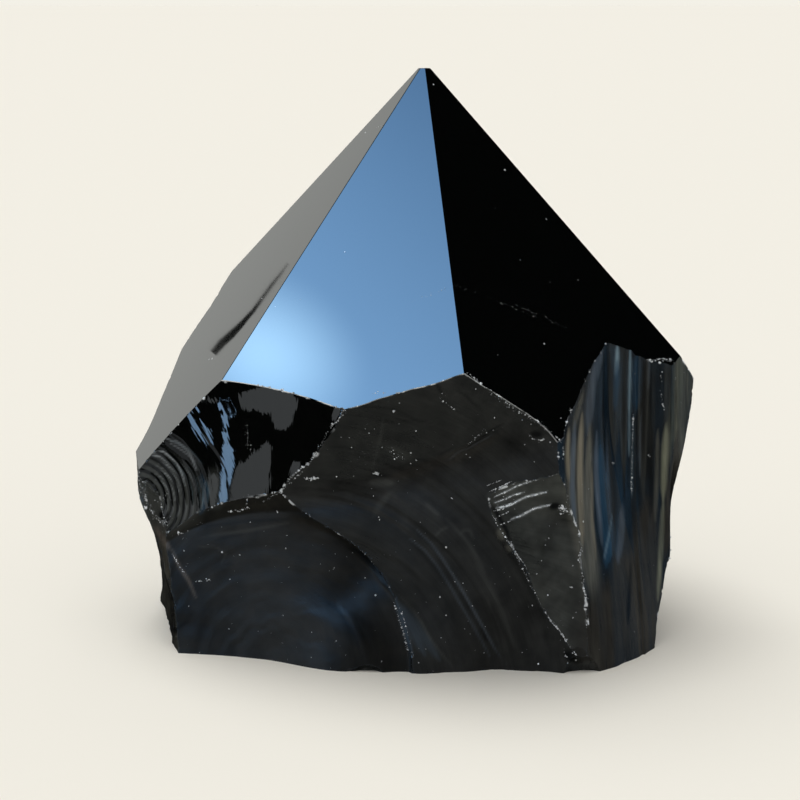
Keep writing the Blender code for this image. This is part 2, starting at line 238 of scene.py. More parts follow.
def low_bowl(u, v):
    """Smooth bowl that spreads from the left and ends in a ledge at the front face."""
    ledge_reach, ledge_depth, ledge_bearing, ledge_width = 25.1, 0.8, 46.0, 10.0
    hollow_start, wall_width, edge_slope, outside_slope, outside_end = 12.0, 0.8, 0.13, 0.9, (70.0, 90.0)
    inner_height, inner_reach, inner_end, inner_turn = 0.14, (17.9, 18.9), (20.0, 24.0), (46.0, 62.0)
    rim_u, rim_v, rim_reach, rim_slope, rim_stretch = -15.0, -16.0, 24.6, 0.8, 0.7
    bend_u, bend_width, left_twist, right_slope = -10.0, 9.0, 0.008, 0.12
    flare, flare_span, join_width, set_in = (3.7, -6.0, 11.0), (-4.0, 14.0), 2.5, 1.2
    wave_height, ring_spacing, ring_height = 0.12, 3.4, 0.04
    reach, bearing = reach_from(LOW_BLOW, u, v), degrees(bearing_from(LOW_BLOW, u, v))
    leftwards, rightwards = -smooth_max(bend_u - u, 0.0, bend_width), smooth_max(u - bend_u, 0.0, bend_width)
    twist = left_twist * leftwards * (v + 14.0) - right_slope * rightwards
    rim = rim_slope * max(hypot(rim_stretch * min(u - rim_u, 0.0), v - rim_v) - rim_reach, 0.0)
    foot = humps(u, flare) * smooth_step(-v, *flare_span)
    waves = wave_height * wobble(u * 0.4, v, 3.0, 2.0)
    waves += fine_rings(LOW_BLOW, u, v, ring_spacing, ring_height, 5.0)
    own = twist + bowl(u, v, -15.0, -6.0, 160.0, 160.0) - set_in + foot + rim + waves
    edge = front_under(u, v) - edge_slope * (ledge_reach - reach)
    ledge = ledge_depth * bump(bearing - ledge_bearing, ledge_width)
    ledge *= smooth_step(reach, ledge_reach - hollow_start, ledge_reach - 2.0)
    ledge *= 1.0 - smooth_step(reach, ledge_reach - wall_width, ledge_reach)
    outside = outside_slope * max(reach - ledge_reach, 0.0) * (1.0 - smooth_step(abs(bearing), *outside_end))
    inner = inner_height * smooth_step(reach + 0.05 * bearing, *inner_reach)
    inner *= 1.0 - smooth_step(reach, *inner_end)
    inner *= 1.0 - smooth_step(abs(bearing), *inner_turn)
    return -smooth_max(-own, -edge, join_width) + outside - ledge + inner


def wedge_face(u, v):
    """Narrow face that leans out at its top and swells towards its foot."""
    top_foot, top_slope, top_skew = 9.5, 0.6, 0.3
    set_in, swelling, swell_span, unevenness, fine_height = 1.2, 2.25, (-8.0, 8.0), 0.25, 0.08
    top = smooth_max(0.0, top_slope * (v - top_foot) + top_skew * u, 1.0)
    swell = swelling * smooth_step(-v, *swell_span)
    waves = unevenness * wobble(u, v, 5.0, 8.0) + fine_height * wobble(u * 2.0, v * 0.7, 2.2, 3.0)
    return bowl(u, v, 14.0, 0.0, 150.0, 150.0) - set_in + top + swell + waves


def pillar(u, v):
    """Upright flutes on a rounded pillar with a hollow at its left, a beaded step and a set-back heel."""
    depth, edge_u, deepest_u, far_slope, up_slope = 5.1, -2.5, 14.7, 0.26, 0.09
    foot, heel, heel_top, heel_foot, heel_end = (3.0, 8.0, 8.5), 1.6, 9.0, 32.0, 8.0
    waist = (-0.45, -4.0, 5.0)
    across_u, across_out = 0.7314, 0.682
    wide_flute, narrow_flute, rib_height, hair_height = (0.07, 4.6), (0.025, 2.7), 0.05, 0.01
    step_height, step_span, bead_height, bead_place, bead_width = 0.5, (11.35, 11.85), 0.16, 11.5, 0.3
    bend_place, bend_high, bend_more = 18.6, 0.4, 0.7
    steep = min(max((u - edge_u) / (deepest_u - edge_u), 0.0), 1.0) ** 0.8
    scallop = far_slope * max(u - deepest_u, 0.0) - depth * steep
    hollow = 1.0 - up_slope * v + scallop * smooth_step(v, -32.0, 12.0)
    across = across_u * u + across_out * hollow
    flutes = wide_flute[0] * sin(across * 2.0 * pi / wide_flute[1])
    flutes += narrow_flute[0] * sin(across * 2.0 * pi / narrow_flute[1] + 1.0)
    fine = rib_height * wobble(across, v * 0.035, 1.6, 3.0) + hair_height * wobble(across, v * 0.05, 0.5, 7.0)
    step = step_height * smooth_step(across, *step_span)
    beads = bead_height * bump(across - bead_place, bead_width) * max(wobble(v, 0.0, 0.7, 2.0), 0.0)
    bend = bend_high + bend_more * smooth_step(4.0 - v, 0.0, 14.0)
    hollow += humps(u, foot) * smooth_step(-v, -12.0, heel_foot)
    side = heel * smooth_step(-v, heel_top, heel_foot) + humps(v, waist)
    hollow += side * (1.0 - smooth_step(u, 0.0, heel_end))
    return hollow + flutes + fine + step + beads - bend * max(across - bend_place, 0.0)


def right_side(u, v):
    """Slow ripples and lances of the right side."""
    ring_spacing, ring_height, fine_spacing, fine_height, rings_start = 9.0, 0.22, 2.4, 0.08, (8.0, 20.0)
    lance_pitch, lance_height = 0.9, 0.1
    set_in, set_back = 0.4, -1.25
    ripples = rings(RIGHT_BLOW, u, v, ring_spacing, ring_height)
    ripples += fine_rings(RIGHT_BLOW, u, v, fine_spacing, fine_height, 4.0)
    ripples *= smooth_step(reach_from(RIGHT_BLOW, u, v), *rings_start)
    lances = streaks(RIGHT_BLOW, u, v, lance_pitch, lance_height, 2.0)
    low = set_back * smooth_step(12.0 - v, 0.0, 16.0)
    return bowl(u, v, 2.0, 0.0, 90.0, -170.0) - set_in + low + ripples + lances


def left_corner(u, v):
    """Low corner at the left, cut steeply at its top."""
    rib_height, set_in, top_foot = 0.12, 0.2, 10.0
    ribs = rib_height * wobble(u * 1.4, v * 0.3, 1.2, 3.0)
    return bowl(u, v, -35.0, -5.0, 60.0, 80.0) - set_in + max(v - top_foot, 0.0) + ribs


def left_flank(u, v):
    """Rough left side, drawn in at two heights."""
    upper_waist, lower_waist = (-1.2, -3.0, 5.0), (-2.1, -31.0, 10.0)
    set_in, unevenness, rib_height = 0.3, 0.4, 0.1
    rough = unevenness * wobble(u, v, 7.0, 1.0)
    ribs = rib_height * wobble(u, v * 0.5, 1.5, 2.0)
    return bowl(u, v, 0.0, -6.0, 110.0, 110.0) - set_in + rough + ribs + humps(v, upper_waist, lower_waist)


def left_notch(u, v):
    """Small rough notch in the left side, under a low brow."""
    brow, brow_span = 1.2, (1.0, 9.0)
    upper_waist, lower_waist = (-0.8, -3.0, 6.0), (-1.0, -10.0, 5.0)
    unevenness, fine_height = 0.5, 0.15
    rough = unevenness * wobble(u, v, 6.0, 5.0) + fine_height * wobble(u, v, 1.5, 6.0)
    return brow * smooth_step(v, *brow_span) + humps(v, upper_waist, lower_waist) + rough


def plain_break(blow, middle, radii, set_in, ring, fine_ring, lance):
    """Relief of a plain bowl with rings, fine rings and lances, each given by its spacing and height."""
    def relief(u, v):
        waves = rings(blow, u, v, *ring) + fine_rings(blow, u, v, *fine_ring)
        return bowl(u, v, *middle, *radii) - set_in + waves + streaks(blow, u, v, *lance)
    return relief


back_bowl = plain_break(
    BACK_BLOW, (0.0, -10.0), (80.0, 90.0), 0.8, (11.0, 0.22), (3.1, 0.09, 3.0), (0.9, 0.12, 5.0))
back_step = plain_break(
    BACK_STEP_BLOW, (4.0, -4.0), (70.0, 110.0), 1.5, (9.0, 0.22), (2.6, 0.08, 8.0), (1.0, 0.12, 1.0))
back_right_bowl = plain_break(
    BACK_RIGHT_BLOW, (0.0, 0.0), (70.0, 110.0), 1.0, (8.5, 0.22), (2.3, 0.08, 6.0), (0.9, 0.12, 9.0))


# A scar: its relief, the direction it faces, its overhang, the distance of its plane from the tip axis,
# the height of its middle, its spans, its grid step, where its blow fell, how its grain runs and from where
Scar = namedtuple("Scar", "relief faces overhang reach height span_u span_v step blow grain root finish tint")

SCARS = {
    "front_face": Scar(front_face, -93.0, 0.0, 27.6, 22.0, (-42, 42), (-26, 34), (0.32, 0.32),
                       FRONT_BLOW, "rings", FRONT_BLOW, "satin", (1.0, 1.0, 0.96)),
    "left_bowl": Scar(left_bowl, -115.3, 0.5, 31.0, 25.0, (-50, 14), (-30, 34), (0.3, 0.3),
                      LEFT_BLOW, "lances", LANCE_ROOT, "bright", (0.06, 0.06, 0.06)),
    "low_bowl": Scar(low_bowl, -106.0, -10.0, 29.3, 12.0, (-48, 24), (-30, 22), (0.34, 0.34),
                     LOW_BLOW, "rings", LOW_BLOW, "matt", (0.7, 0.6, 0.45)),
    "wedge_face": Scar(wedge_face, -80.0, -8.0, 30.9, 20.0, (-8, 44), (-28, 34), (0.3, 0.3),
                       WEDGE_BLOW, "lances", WEDGE_BLOW, "satin", (2.4, 2.55, 2.4)),
    # The pillar's navy tint is painted reflection: the navy its flutes mirror, put into its film
    "pillar": Scar(pillar, -47.0, 0.0, 36.5, 30.0, (-14, 46), (-34, 34), (0.25, 0.8),
                   FLAT_BLOW, "upright", FLAT_BLOW, "fluted", (0.35, 0.7, 1.15)),
    "right_side": Scar(right_side, 15.0, 24.0, 37.7, 25.0, (-38, 38), (-34, 38), (0.6, 0.6),
                       RIGHT_BLOW, "lances", RIGHT_BLOW, "satin", (1.0, 1.0, 1.0)),
    "left_corner": Scar(left_corner, -135.0, -8.0, 41.5, 10.0, (-40, 30), (-30, 26), (0.6, 0.6),
                        FLAT_BLOW, "upright", FLAT_BLOW, "satin", (3.4, 3.15, 2.72)),
    "back_bowl": Scar(back_bowl, 122.0, -3.0, 30.5, 45.0, (-52, 48), (-50, 26), (0.6, 0.6),
                      BACK_BLOW, "rings", BACK_BLOW, "satin", (1.0, 1.0, 1.0)),
    "back_step": Scar(back_step, 92.0, 8.0, 33.5, 18.0, (-46, 46), (-26, 44), (0.6, 0.6),
                      BACK_STEP_BLOW, "rings", BACK_STEP_BLOW, "satin", (1.0, 1.1, 1.2)),
    "left_flank": Scar(left_flank, 158.0, 0.0, 46.5, 38.0, (-40, 36), (-44, 36), (0.6, 0.6),
                       FLAT_BLOW, "upright", FLAT_BLOW, "satin", (1.2, 1.15, 1.1)),
    "left_notch": Scar(left_notch, -168.0, 6.0, 49.2, 20.0, (-26, 30), (-24, 26), (0.6, 0.6),
                       FLAT_BLOW, "upright", FLAT_BLOW, "satin", (2.7, 2.55, 2.17)),
    "back_right_bowl": Scar(back_right_bowl, 52.0, 5.0, 38.5, 20.0, (-36, 36), (-26, 44), (0.6, 0.6),
                            BACK_RIGHT_BLOW, "lances", BACK_RIGHT_BLOW, "satin", (1.1, 1.1, 1.1)),
}

# Film tints of the polished facets and of the chips
BARE_TINT, CHIP_TINT = (0.0, 0.0, 0.0), (1.5, 1.6, 1.7)

# Larger chips: middle, from the tip axis, and radius
CHIPS = {
    "corner_crush": ((-56.2, -12.4, 24.0), 7.6),
    "foot_notch": ((27.2, -36.2, -0.6), 5.6),
    "foot_chip_left": ((-10.6, -36.2, -3.4), 6.6),
    "foot_chip_corner": ((43.4, -26.0, -3.0), 6.6),
    "shoulder_crush": ((49.6, -10.4, 54.6), 7.4),
    "back_foot_chip": ((2.0, 41.0, -3.0), 7.5),
}

# Strokes on the front, painted into the film colour: tone, strength, half width, and places across and up.
# Some are film, polish or colour; many are painted light: painted shade, painted highlights and painted
# reflections
Stroke = namedtuple("Stroke", "tone strength half_width path")
TONES = {
    "dark": (0.0, 0.0, 0.0), "earth": (0.029, 0.0238, 0.0172), "umber": (0.0238, 0.0224, 0.0191),
    "pale": (0.0462, 0.0502, 0.0475), "blue": (0.029, 0.0449, 0.0634), "navy": (0.00924, 0.0396, 0.0792),
    "steel": (0.0554, 0.0739, 0.099), "stone": (0.0792, 0.0792, 0.066), "brown": (0.0924, 0.0792, 0.0686),
    "beige": (0.145, 0.132, 0.099), "olive": (0.185, 0.194, 0.139), "glint": (0.172, 0.264, 0.33),
    "white": (0.528, 0.581, 0.634),
}
STROKES = (
    # Painted shade down the front face
    Stroke("dark", 0.2, 5.61, ((0.1, 25.2), (5.2, 13.7), (9.4, 3.7))),
    Stroke("dark", 0.25, 2.11, ((9.4, 25.6), (15.3, 12.4), (19.6, 2.8))),
    # Painted grey sheen round the left blow
    Stroke("pale", 0.9, 5.96, ((-45.3, 29.0), (-44.4, 26.6), (-43.1, 24.2))),
    Stroke("pale", 0.6, 1.58, ((-35.0, 31.4), (-34.3, 27.5), (-35.1, 24.6))),
    # Painted shade in the cracks of the brow
    Stroke("dark", 0.9, 0.14, ((-10.6, 45.6), (-5.8, 45.5), (-2.8, 45.0), (-0.3, 43.3), (3.5, 42.4))),
    Stroke("dark", 0.8, 0.12, ((-14.3, 37.8), (-12.1, 37.8), (-9.8, 37.3))),
    Stroke("dark", 0.8, 0.12, ((-14.4, 32.5), (-11.9, 32.6))),
    Stroke("dark", 1.0, 0.21, ((3.3, 50.4), (3.8, 49.4), (4.6, 47.9))),
    Stroke("dark", 0.9, 0.18, ((6.9, 48.7), (7.9, 48.3), (9.1, 47.0), (9.8, 46.3), (11.1, 45.2))),
    Stroke("dark", 1.0, 0.21, ((14.7, 42.6), (12.2, 41.0), (10.9, 39.5), (8.5, 37.8))),
    Stroke("dark", 0.8, 0.14, ((6.8, 38.1), (5.3, 37.3), (3.9, 36.3))),
    Stroke("dark", 0.9, 0.14, ((2.3, 35.3), (-0.4, 35.7))),
    # Pale and earthy strokes on the brow
    Stroke("earth", 0.3, 1.05, ((-5.0, 31.7), (0.9, 33.7), (8.5, 37.0), (14.2, 40.5))),
    Stroke("pale", 0.6, 0.61, ((-7.6, 31.2), (-3.5, 31.2))),
    Stroke("pale", 0.35, 0.26, ((-5.2, 43.5), (-5.8, 39.6), (-7.1, 33.8))),
    Stroke("pale", 0.35, 0.53, ((-4.2, 29.4), (-5.9, 27.3), (-7.1, 25.2))),
    Stroke("pale", 0.35, 1.05, ((-4.8, 37.5), (-1.6, 36.0))),
    # Painted highlights: a pale pair of stripes along the lances of the front face, with a line of painted
    # shade between them
    Stroke("steel", 0.62, 0.18, ((0.4, 23.4), (3.3, 20.9), (5.8, 17.4), (8.4, 13.2), (10.8, 9.0), (13.7, 3.6),
           (14.6, 2.2))),
    Stroke("steel", 0.5, 0.18, ((-0.8, 21.9), (2.1, 19.9), (5.0, 16.0), (7.5, 11.9), (9.9, 7.9),
           (12.9, 2.2))),
    Stroke("dark", 0.6, 0.18, ((3.3, 20.1), (7.0, 14.5), (11.3, 7.1), (13.9, 2.4))),
    # Painted blue reflection: a wedge beside the low bowl's ledge
    Stroke("blue", 0.9, 0.44, ((-3.2, 11.8), (-0.4, 3.0))),
    Stroke("blue", 0.7, 0.7, ((-2.5, 11.1), (1.8, 3.0))),
    Stroke("blue", 0.5, 0.7, ((-1.8, 10.8), (4.3, 2.1))),
    # Lances of the front face
    Stroke("pale", 0.5, 0.18, ((-2.5, 12.6), (0.4, 9.4), (3.3, 4.7), (6.2, 1.2))),
    Stroke("pale", 0.3, 0.53, ((10.4, 18.3), (12.9, 14.4), (14.6, 10.6), (17.6, 3.3))),
    Stroke("pale", 0.3, 0.35, ((1.8, 28.1), (4.1, 26.2))),
    Stroke("pale", 0.3, 0.35, ((5.3, 25.8), (9.0, 22.1), (11.9, 16.9))),
    Stroke("pale", 0.35, 0.26, ((3.5, 22.7), (4.5, 23.8), (5.7, 24.3))),
    Stroke("pale", 0.35, 0.26, ((7.7, 23.2), (8.4, 23.9), (9.4, 23.8), (10.0, 22.3))),
    # Painted shade along the ridge beside the wedge face, and lighter and darker strokes on the wedge face
    Stroke("dark", 1.0, 0.39, ((11.7, 29.7), (13.6, 27.5), (15.2, 24.6), (16.2, 22.3))),
    Stroke("stone", 0.9, 0.63, ((14.4, 24.1), (14.7, 22.9))),
    Stroke("stone", 0.8, 0.39, ((15.6, 21.6), (16.1, 20.8))),
    Stroke("pale", 0.45, 1.4, ((12.5, 29.2), (16.9, 30.0))),
    Stroke("pale", 0.4, 0.53, ((18.1, 23.0), (20.4, 24.0))),
    Stroke("dark", 0.9, 0.61, ((19.5, 40.9), (21.0, 40.8))),
    Stroke("dark", 1.0, 0.7, ((23.0, 27.9), (24.2, 28.3))),
    # Foot of the wedge face and the pillar: a painted blue reflection and a dark stroke
    Stroke("blue", 1.0, 0.35, ((29.0, 11.9), (29.6, 9.2), (29.5, 2.1))),
    Stroke("dark", 1.0, 0.88, ((25.6, 3.7), (28.1, 1.7))),
    # Arcs and streaks of the low bowl, with the dark crescent along its ledge painted as shadow
    Stroke("dark", 0.9, 0.16, ((-17.5, 12.1), (-12.8, 9.2), (-10.1, 5.9), (-8.8, 2.0))),
    Stroke("dark", 1.0, 0.32, ((-11.6, 19.9), (-9.2, 19.0), (-6.6, 16.9), (-4.4, 13.2))),
    Stroke("dark", 0.8, 0.26, ((-39.8, 20.3), (-37.9, 20.9), (-34.9, 21.3), (-30.3, 22.3), (-21.7, 23.8))),
    Stroke("dark", 0.7, 0.21, ((-34.8, 18.8), (-32.1, 19.7), (-29.6, 20.3))),
    Stroke("dark", 0.6, 0.18, ((-33.9, 14.7), (-31.4, 15.1))),
    Stroke("pale", 0.3, 0.26, ((-37.9, 18.9), (-34.8, 19.8), (-30.3, 20.6), (-21.7, 23.1))),
    Stroke("pale", 0.35, 0.14, ((-38.1, 17.4), (-35.0, 17.8), (-33.0, 16.6), (-33.9, 14.9))),
    # Left corner
    Stroke("brown", 0.9, 0.61, ((-46.2, 19.6), (-44.8, 18.2), (-43.2, 16.7))),
    Stroke("brown", 0.8, 0.28, ((-42.8, 16.7), (-41.5, 14.0), (-39.6, 11.7), (-38.3, 9.0))),
    Stroke("dark", 1.0, 0.14, ((-45.1, 4.2), (-42.1, 8.9))),
    Stroke("dark", 0.8, 0.26, ((-44.2, 0.4), (-41.1, 4.3), (-39.5, 5.2))),
    # Painted highlights on the rings round the left blow, with painted blue reflections and glints
    Stroke("white", 0.8, 0.14, ((-43.6, 36.3), (-41.3, 35.6), (-39.5, 34.3), (-38.1, 31.0))),
    Stroke("white", 0.7, 0.12, ((-46.4, 33.4), (-44.1, 33.9), (-41.7, 32.0), (-40.5, 29.0))),
    Stroke("white", 0.5, 0.11, ((-46.9, 32.7), (-44.9, 33.0), (-42.9, 31.5))),
    Stroke("dark", 1.0, 0.7, ((-45.1, 22.1), (-43.5, 22.8))),
    Stroke("navy", 0.8, 0.39, ((-37.4, 30.4), (-36.5, 27.7), (-36.7, 24.8), (-37.6, 23.3))),
    Stroke("glint", 0.45, 0.14, ((-36.5, 29.4), (-36.0, 27.4), (-36.3, 25.4))),
    Stroke("glint", 0.5, 0.16, ((-37.7, 30.0), (-36.9, 27.6), (-37.1, 25.2), (-37.8, 23.7))),
    # Foot of the pillar
    Stroke("dark", 0.2, 1.4, ((27.0, 14.8), (27.5, 9.0), (27.8, 3.7))),
    # Scratches across the wedge face
    Stroke("white", 0.5, 0.09, ((13.4, 29.7), (15.4, 30.6), (17.2, 31.8), (19.5, 32.8))),
    Stroke("white", 0.35, 0.09, ((13.4, 28.7), (15.4, 29.3), (16.6, 30.0), (18.6, 30.7))),
    Stroke("white", 0.7, 0.12, ((13.7, 27.8), (16.3, 28.2), (18.6, 29.7), (22.2, 30.8))),
    Stroke("white", 0.7, 0.12, ((16.3, 25.9), (18.3, 26.5), (20.0, 27.5), (22.9, 28.3))),
    # Painted reflections on the pillar: grounds of the reflected bands on its flutes
    Stroke("stone", 0.75, 1.75, ((27.2, 38.8), (26.9, 32.3), (28.5, 23.6), (30.2, 15.9), (31.1, 10.9))),
    Stroke("umber", 1.0, 5.09, ((32.4, 11.7), (32.7, 8.1), (33.0, 0.7))),
    Stroke("umber", 1.0, 4.21, ((40.1, 15.4), (39.9, 9.0), (38.5, 0.1))),
    Stroke("umber", 0.9, 2.11, ((36.0, 16.6), (35.9, 14.3), (35.5, 12.1))),
    Stroke("navy", 0.35, 2.81, ((34.9, 51.9), (35.1, 39.6), (35.2, 26.3), (34.9, 18.6))),
    Stroke("dark", 0.75, 1.05, ((34.0, 51.6), (34.1, 39.7), (34.6, 26.5), (34.6, 20.3))),
    Stroke("dark", 0.75, 1.4, ((40.7, 49.7), (40.8, 42.6), (41.0, 28.6))),
    Stroke("olive", 0.36, 1.93, ((47.0, 50.2), (48.1, 45.8), (47.9, 41.5), (47.1, 36.3), (46.7, 29.3))),
    Stroke("stone", 0.7, 0.88, ((48.0, 48.7), (49.4, 43.9), (48.6, 38.6), (47.7, 32.6), (46.8, 25.1))),
    Stroke("umber", 0.95, 2.81, ((41.4, 25.1), (41.1, 16.8), (40.5, 8.7), (39.3, 1.1))),
    Stroke("umber", 0.9, 1.23, ((47.2, 36.0), (46.5, 27.4), (45.5, 20.9), (44.5, 14.2))),
    # Painted reflections streaking the pillar: left side
    Stroke("navy", 0.7, 1.23, ((32.2, 37.1), (32.7, 30.4), (32.9, 24.0), (33.7, 18.1))),
    Stroke("navy", 0.6, 0.88, ((39.2, 50.8), (39.2, 44.5), (39.1, 41.0))),
    Stroke("steel", 0.7, 0.88, ((32.6, 52.3), (31.0, 48.4), (30.2, 44.4), (29.8, 39.1))),
    Stroke("stone", 0.7, 0.53, ((28.8, 46.3), (27.5, 42.8), (26.8, 40.3))),
    Stroke("beige", 0.9, 0.46, ((26.0, 41.2), (25.6, 37.4), (26.0, 32.6))),
    Stroke("steel", 0.85, 0.46, ((27.2, 42.1), (26.8, 37.3), (26.6, 30.8), (27.2, 24.7))),
    Stroke("beige", 0.95, 0.6, ((28.6, 42.9), (28.1, 35.2), (28.1, 28.6), (28.6, 21.1))),
    Stroke("dark", 0.7, 0.16, ((27.6, 40.3), (27.3, 32.2), (27.9, 23.7))),
    Stroke("stone", 0.85, 0.7, ((30.2, 40.2), (29.7, 31.3), (29.8, 23.2), (30.6, 16.3))),
    Stroke("beige", 0.6, 0.28, ((30.5, 32.7), (30.4, 24.7), (31.0, 18.1))),
    Stroke("steel", 0.8, 0.42, ((31.6, 38.9), (31.3, 32.4), (31.6, 27.5), (32.2, 20.2))),
    Stroke("steel", 0.45, 0.28, ((33.7, 39.0), (33.7, 30.0), (34.0, 22.1))),
    Stroke("dark", 0.9, 0.25, ((33.0, 50.4), (32.9, 40.2), (33.3, 31.8))),
    # Middle
    Stroke("glint", 0.75, 0.32, ((35.5, 52.7), (35.5, 49.8), (35.3, 47.3))),
    Stroke("navy", 0.8, 0.42, ((35.5, 50.1), (35.4, 45.7), (35.2, 41.4))),
    Stroke("glint", 0.9, 0.19, ((37.9, 51.9), (37.9, 46.4), (37.9, 37.6), (37.9, 33.3))),
    Stroke("dark", 0.8, 0.35, ((36.8, 51.7), (36.9, 39.4), (36.9, 25.8))),
    Stroke("steel", 0.4, 0.25, ((41.5, 50.2), (41.4, 47.5), (41.3, 44.3))),
    Stroke("steel", 0.5, 0.21, ((40.1, 40.9), (39.9, 35.7), (39.9, 29.6))),
    Stroke("glint", 0.25, 0.18, ((38.6, 40.2), (38.5, 35.8), (38.4, 30.6), (38.3, 26.4))),
    Stroke("steel", 0.7, 0.63, ((36.5, 25.1), (36.0, 19.8), (35.2, 16.6))),
    Stroke("navy", 0.8, 0.79, ((33.9, 23.7), (33.5, 19.9), (32.9, 16.9))),
    Stroke("glint", 0.4, 0.18, ((34.3, 24.0), (32.5, 17.9))),
    Stroke("dark", 0.9, 0.39, ((37.9, 16.0), (37.2, 10.0), (36.9, 6.1))),
    # Right side
    Stroke("olive", 0.85, 0.56, ((44.9, 37.7), (44.7, 33.3), (44.4, 24.6))),
    Stroke("olive", 0.6, 0.46, ((44.4, 24.6), (43.9, 16.0), (43.2, 7.8))),
    Stroke("stone", 0.7, 0.42, ((43.3, 37.0), (43.2, 30.0), (42.8, 21.5))),
    Stroke("dark", 0.6, 0.39, ((42.2, 37.2), (42.0, 30.2), (41.8, 21.7))),
    Stroke("stone", 0.6, 0.44, ((48.9, 45.6), (48.6, 41.4), (48.0, 37.9))),
    # Painted highlights and glints on thin rings round the left blow
    Stroke("white", 0.5, 0.08, ((-45.9, 28.8), (-45.0, 28.5), (-44.2, 28.0), (-43.6, 27.4), (-43.1, 26.5),
           (-43.0, 25.6))),
    Stroke("white", 0.35, 0.07, ((-46.1, 29.6), (-44.8, 29.3), (-43.7, 28.6), (-42.9, 27.7), (-42.4, 26.6),
           (-42.2, 25.4))),
    Stroke("white", 0.55, 0.08, ((-45.7, 30.4), (-44.5, 30.1), (-43.4, 29.6), (-42.5, 28.7), (-41.8, 27.7),
           (-41.4, 26.6))),
    Stroke("white", 0.3, 0.07, ((-45.6, 31.1), (-43.7, 30.6), (-42.2, 29.6), (-41.1, 28.1), (-40.6, 26.3),
           (-40.6, 24.4))),
    Stroke("white", 0.5, 0.08, ((-45.2, 31.8), (-43.9, 31.5), (-42.7, 30.9), (-41.6, 30.0), (-40.8, 29.0),
           (-40.2, 27.9))),
    Stroke("glint", 0.35, 0.09, ((-42.8, 32.1), (-41.3, 31.0), (-40.0, 29.6), (-39.2, 27.9), (-38.9, 26.0),
           (-39.1, 24.1))),
    Stroke("white", 0.35, 0.07, ((-44.4, 33.4), (-42.6, 32.8), (-40.9, 31.8), (-39.6, 30.4), (-38.7, 28.8),
           (-38.2, 26.9))),
    Stroke("glint", 0.3, 0.08, ((-39.7, 31.4), (-38.7, 30.1), (-38.1, 28.6), (-37.7, 27.0), (-37.6, 25.3),
           (-37.9, 23.6))),
    Stroke("white", 0.4, 0.08, ((-43.4, 35.5), (-42.3, 35.1), (-41.2, 34.6), (-40.2, 34.0), (-39.3, 33.4),
           (-38.4, 32.5))),
    Stroke("glint", 0.35, 0.09, ((-42.8, 36.1), (-41.4, 35.6), (-40.2, 34.9), (-39.0, 34.2), (-38.0, 33.2),
           (-37.1, 32.2))),
)

# Patches of the left bowl whose lances lean towards the sky or the wall: places across and up, half width
PATCHES = {
    "sky": (
        ((-32.7, 43.3, 1.3), (-31.8, 42.5, 1.2), (-32.8, 41.1, 0.6), (-32.7, 38.6, 0.4), (-32.7, 36.4, 0.4),
         (-32.4, 35.0, 1.1), (-32.4, 32.5, 1.1), (-32.8, 29.8, 1.0), (-33.2, 26.8, 0.9), (-34.2, 24.0, 0.8)),
        ((-39.3, 41.3, 0.4), (-38.4, 39.0, 0.5), (-36.9, 36.7, 0.4), (-36.0, 35.0, 0.1)),
        ((-38.1, 42.3, 0.2), (-37.1, 40.0, 0.4), (-35.9, 38.1, 0.4), (-35.4, 36.3, 0.2)),
    ),
    "wall": (
        ((-28.5, 44.5, 1.8), (-25.5, 45.0, 2.5), (-22.5, 45.1, 2.6), (-22.6, 41.9, 1.8), (-23.3, 40.4, 0.5)),
        ((-25.3, 36.7, 0.7), (-26.6, 33.9, 1.9), (-28.1, 30.7, 3.2), (-29.1, 27.8, 3.2), (-30.2, 25.3, 2.1)),
        ((-20.1, 34.0, 0.7), (-20.6, 32.0, 0.5)),
        ((-12.8, 44.8, 0.9), (-13.5, 43.2, 0.5)),
        ((-37.0, 43.9, 0.4), (-34.3, 43.9, 0.4)),
        ((-35.2, 29.5, 1.1), (-36.0, 25.3, 1.2)),
    ),
}

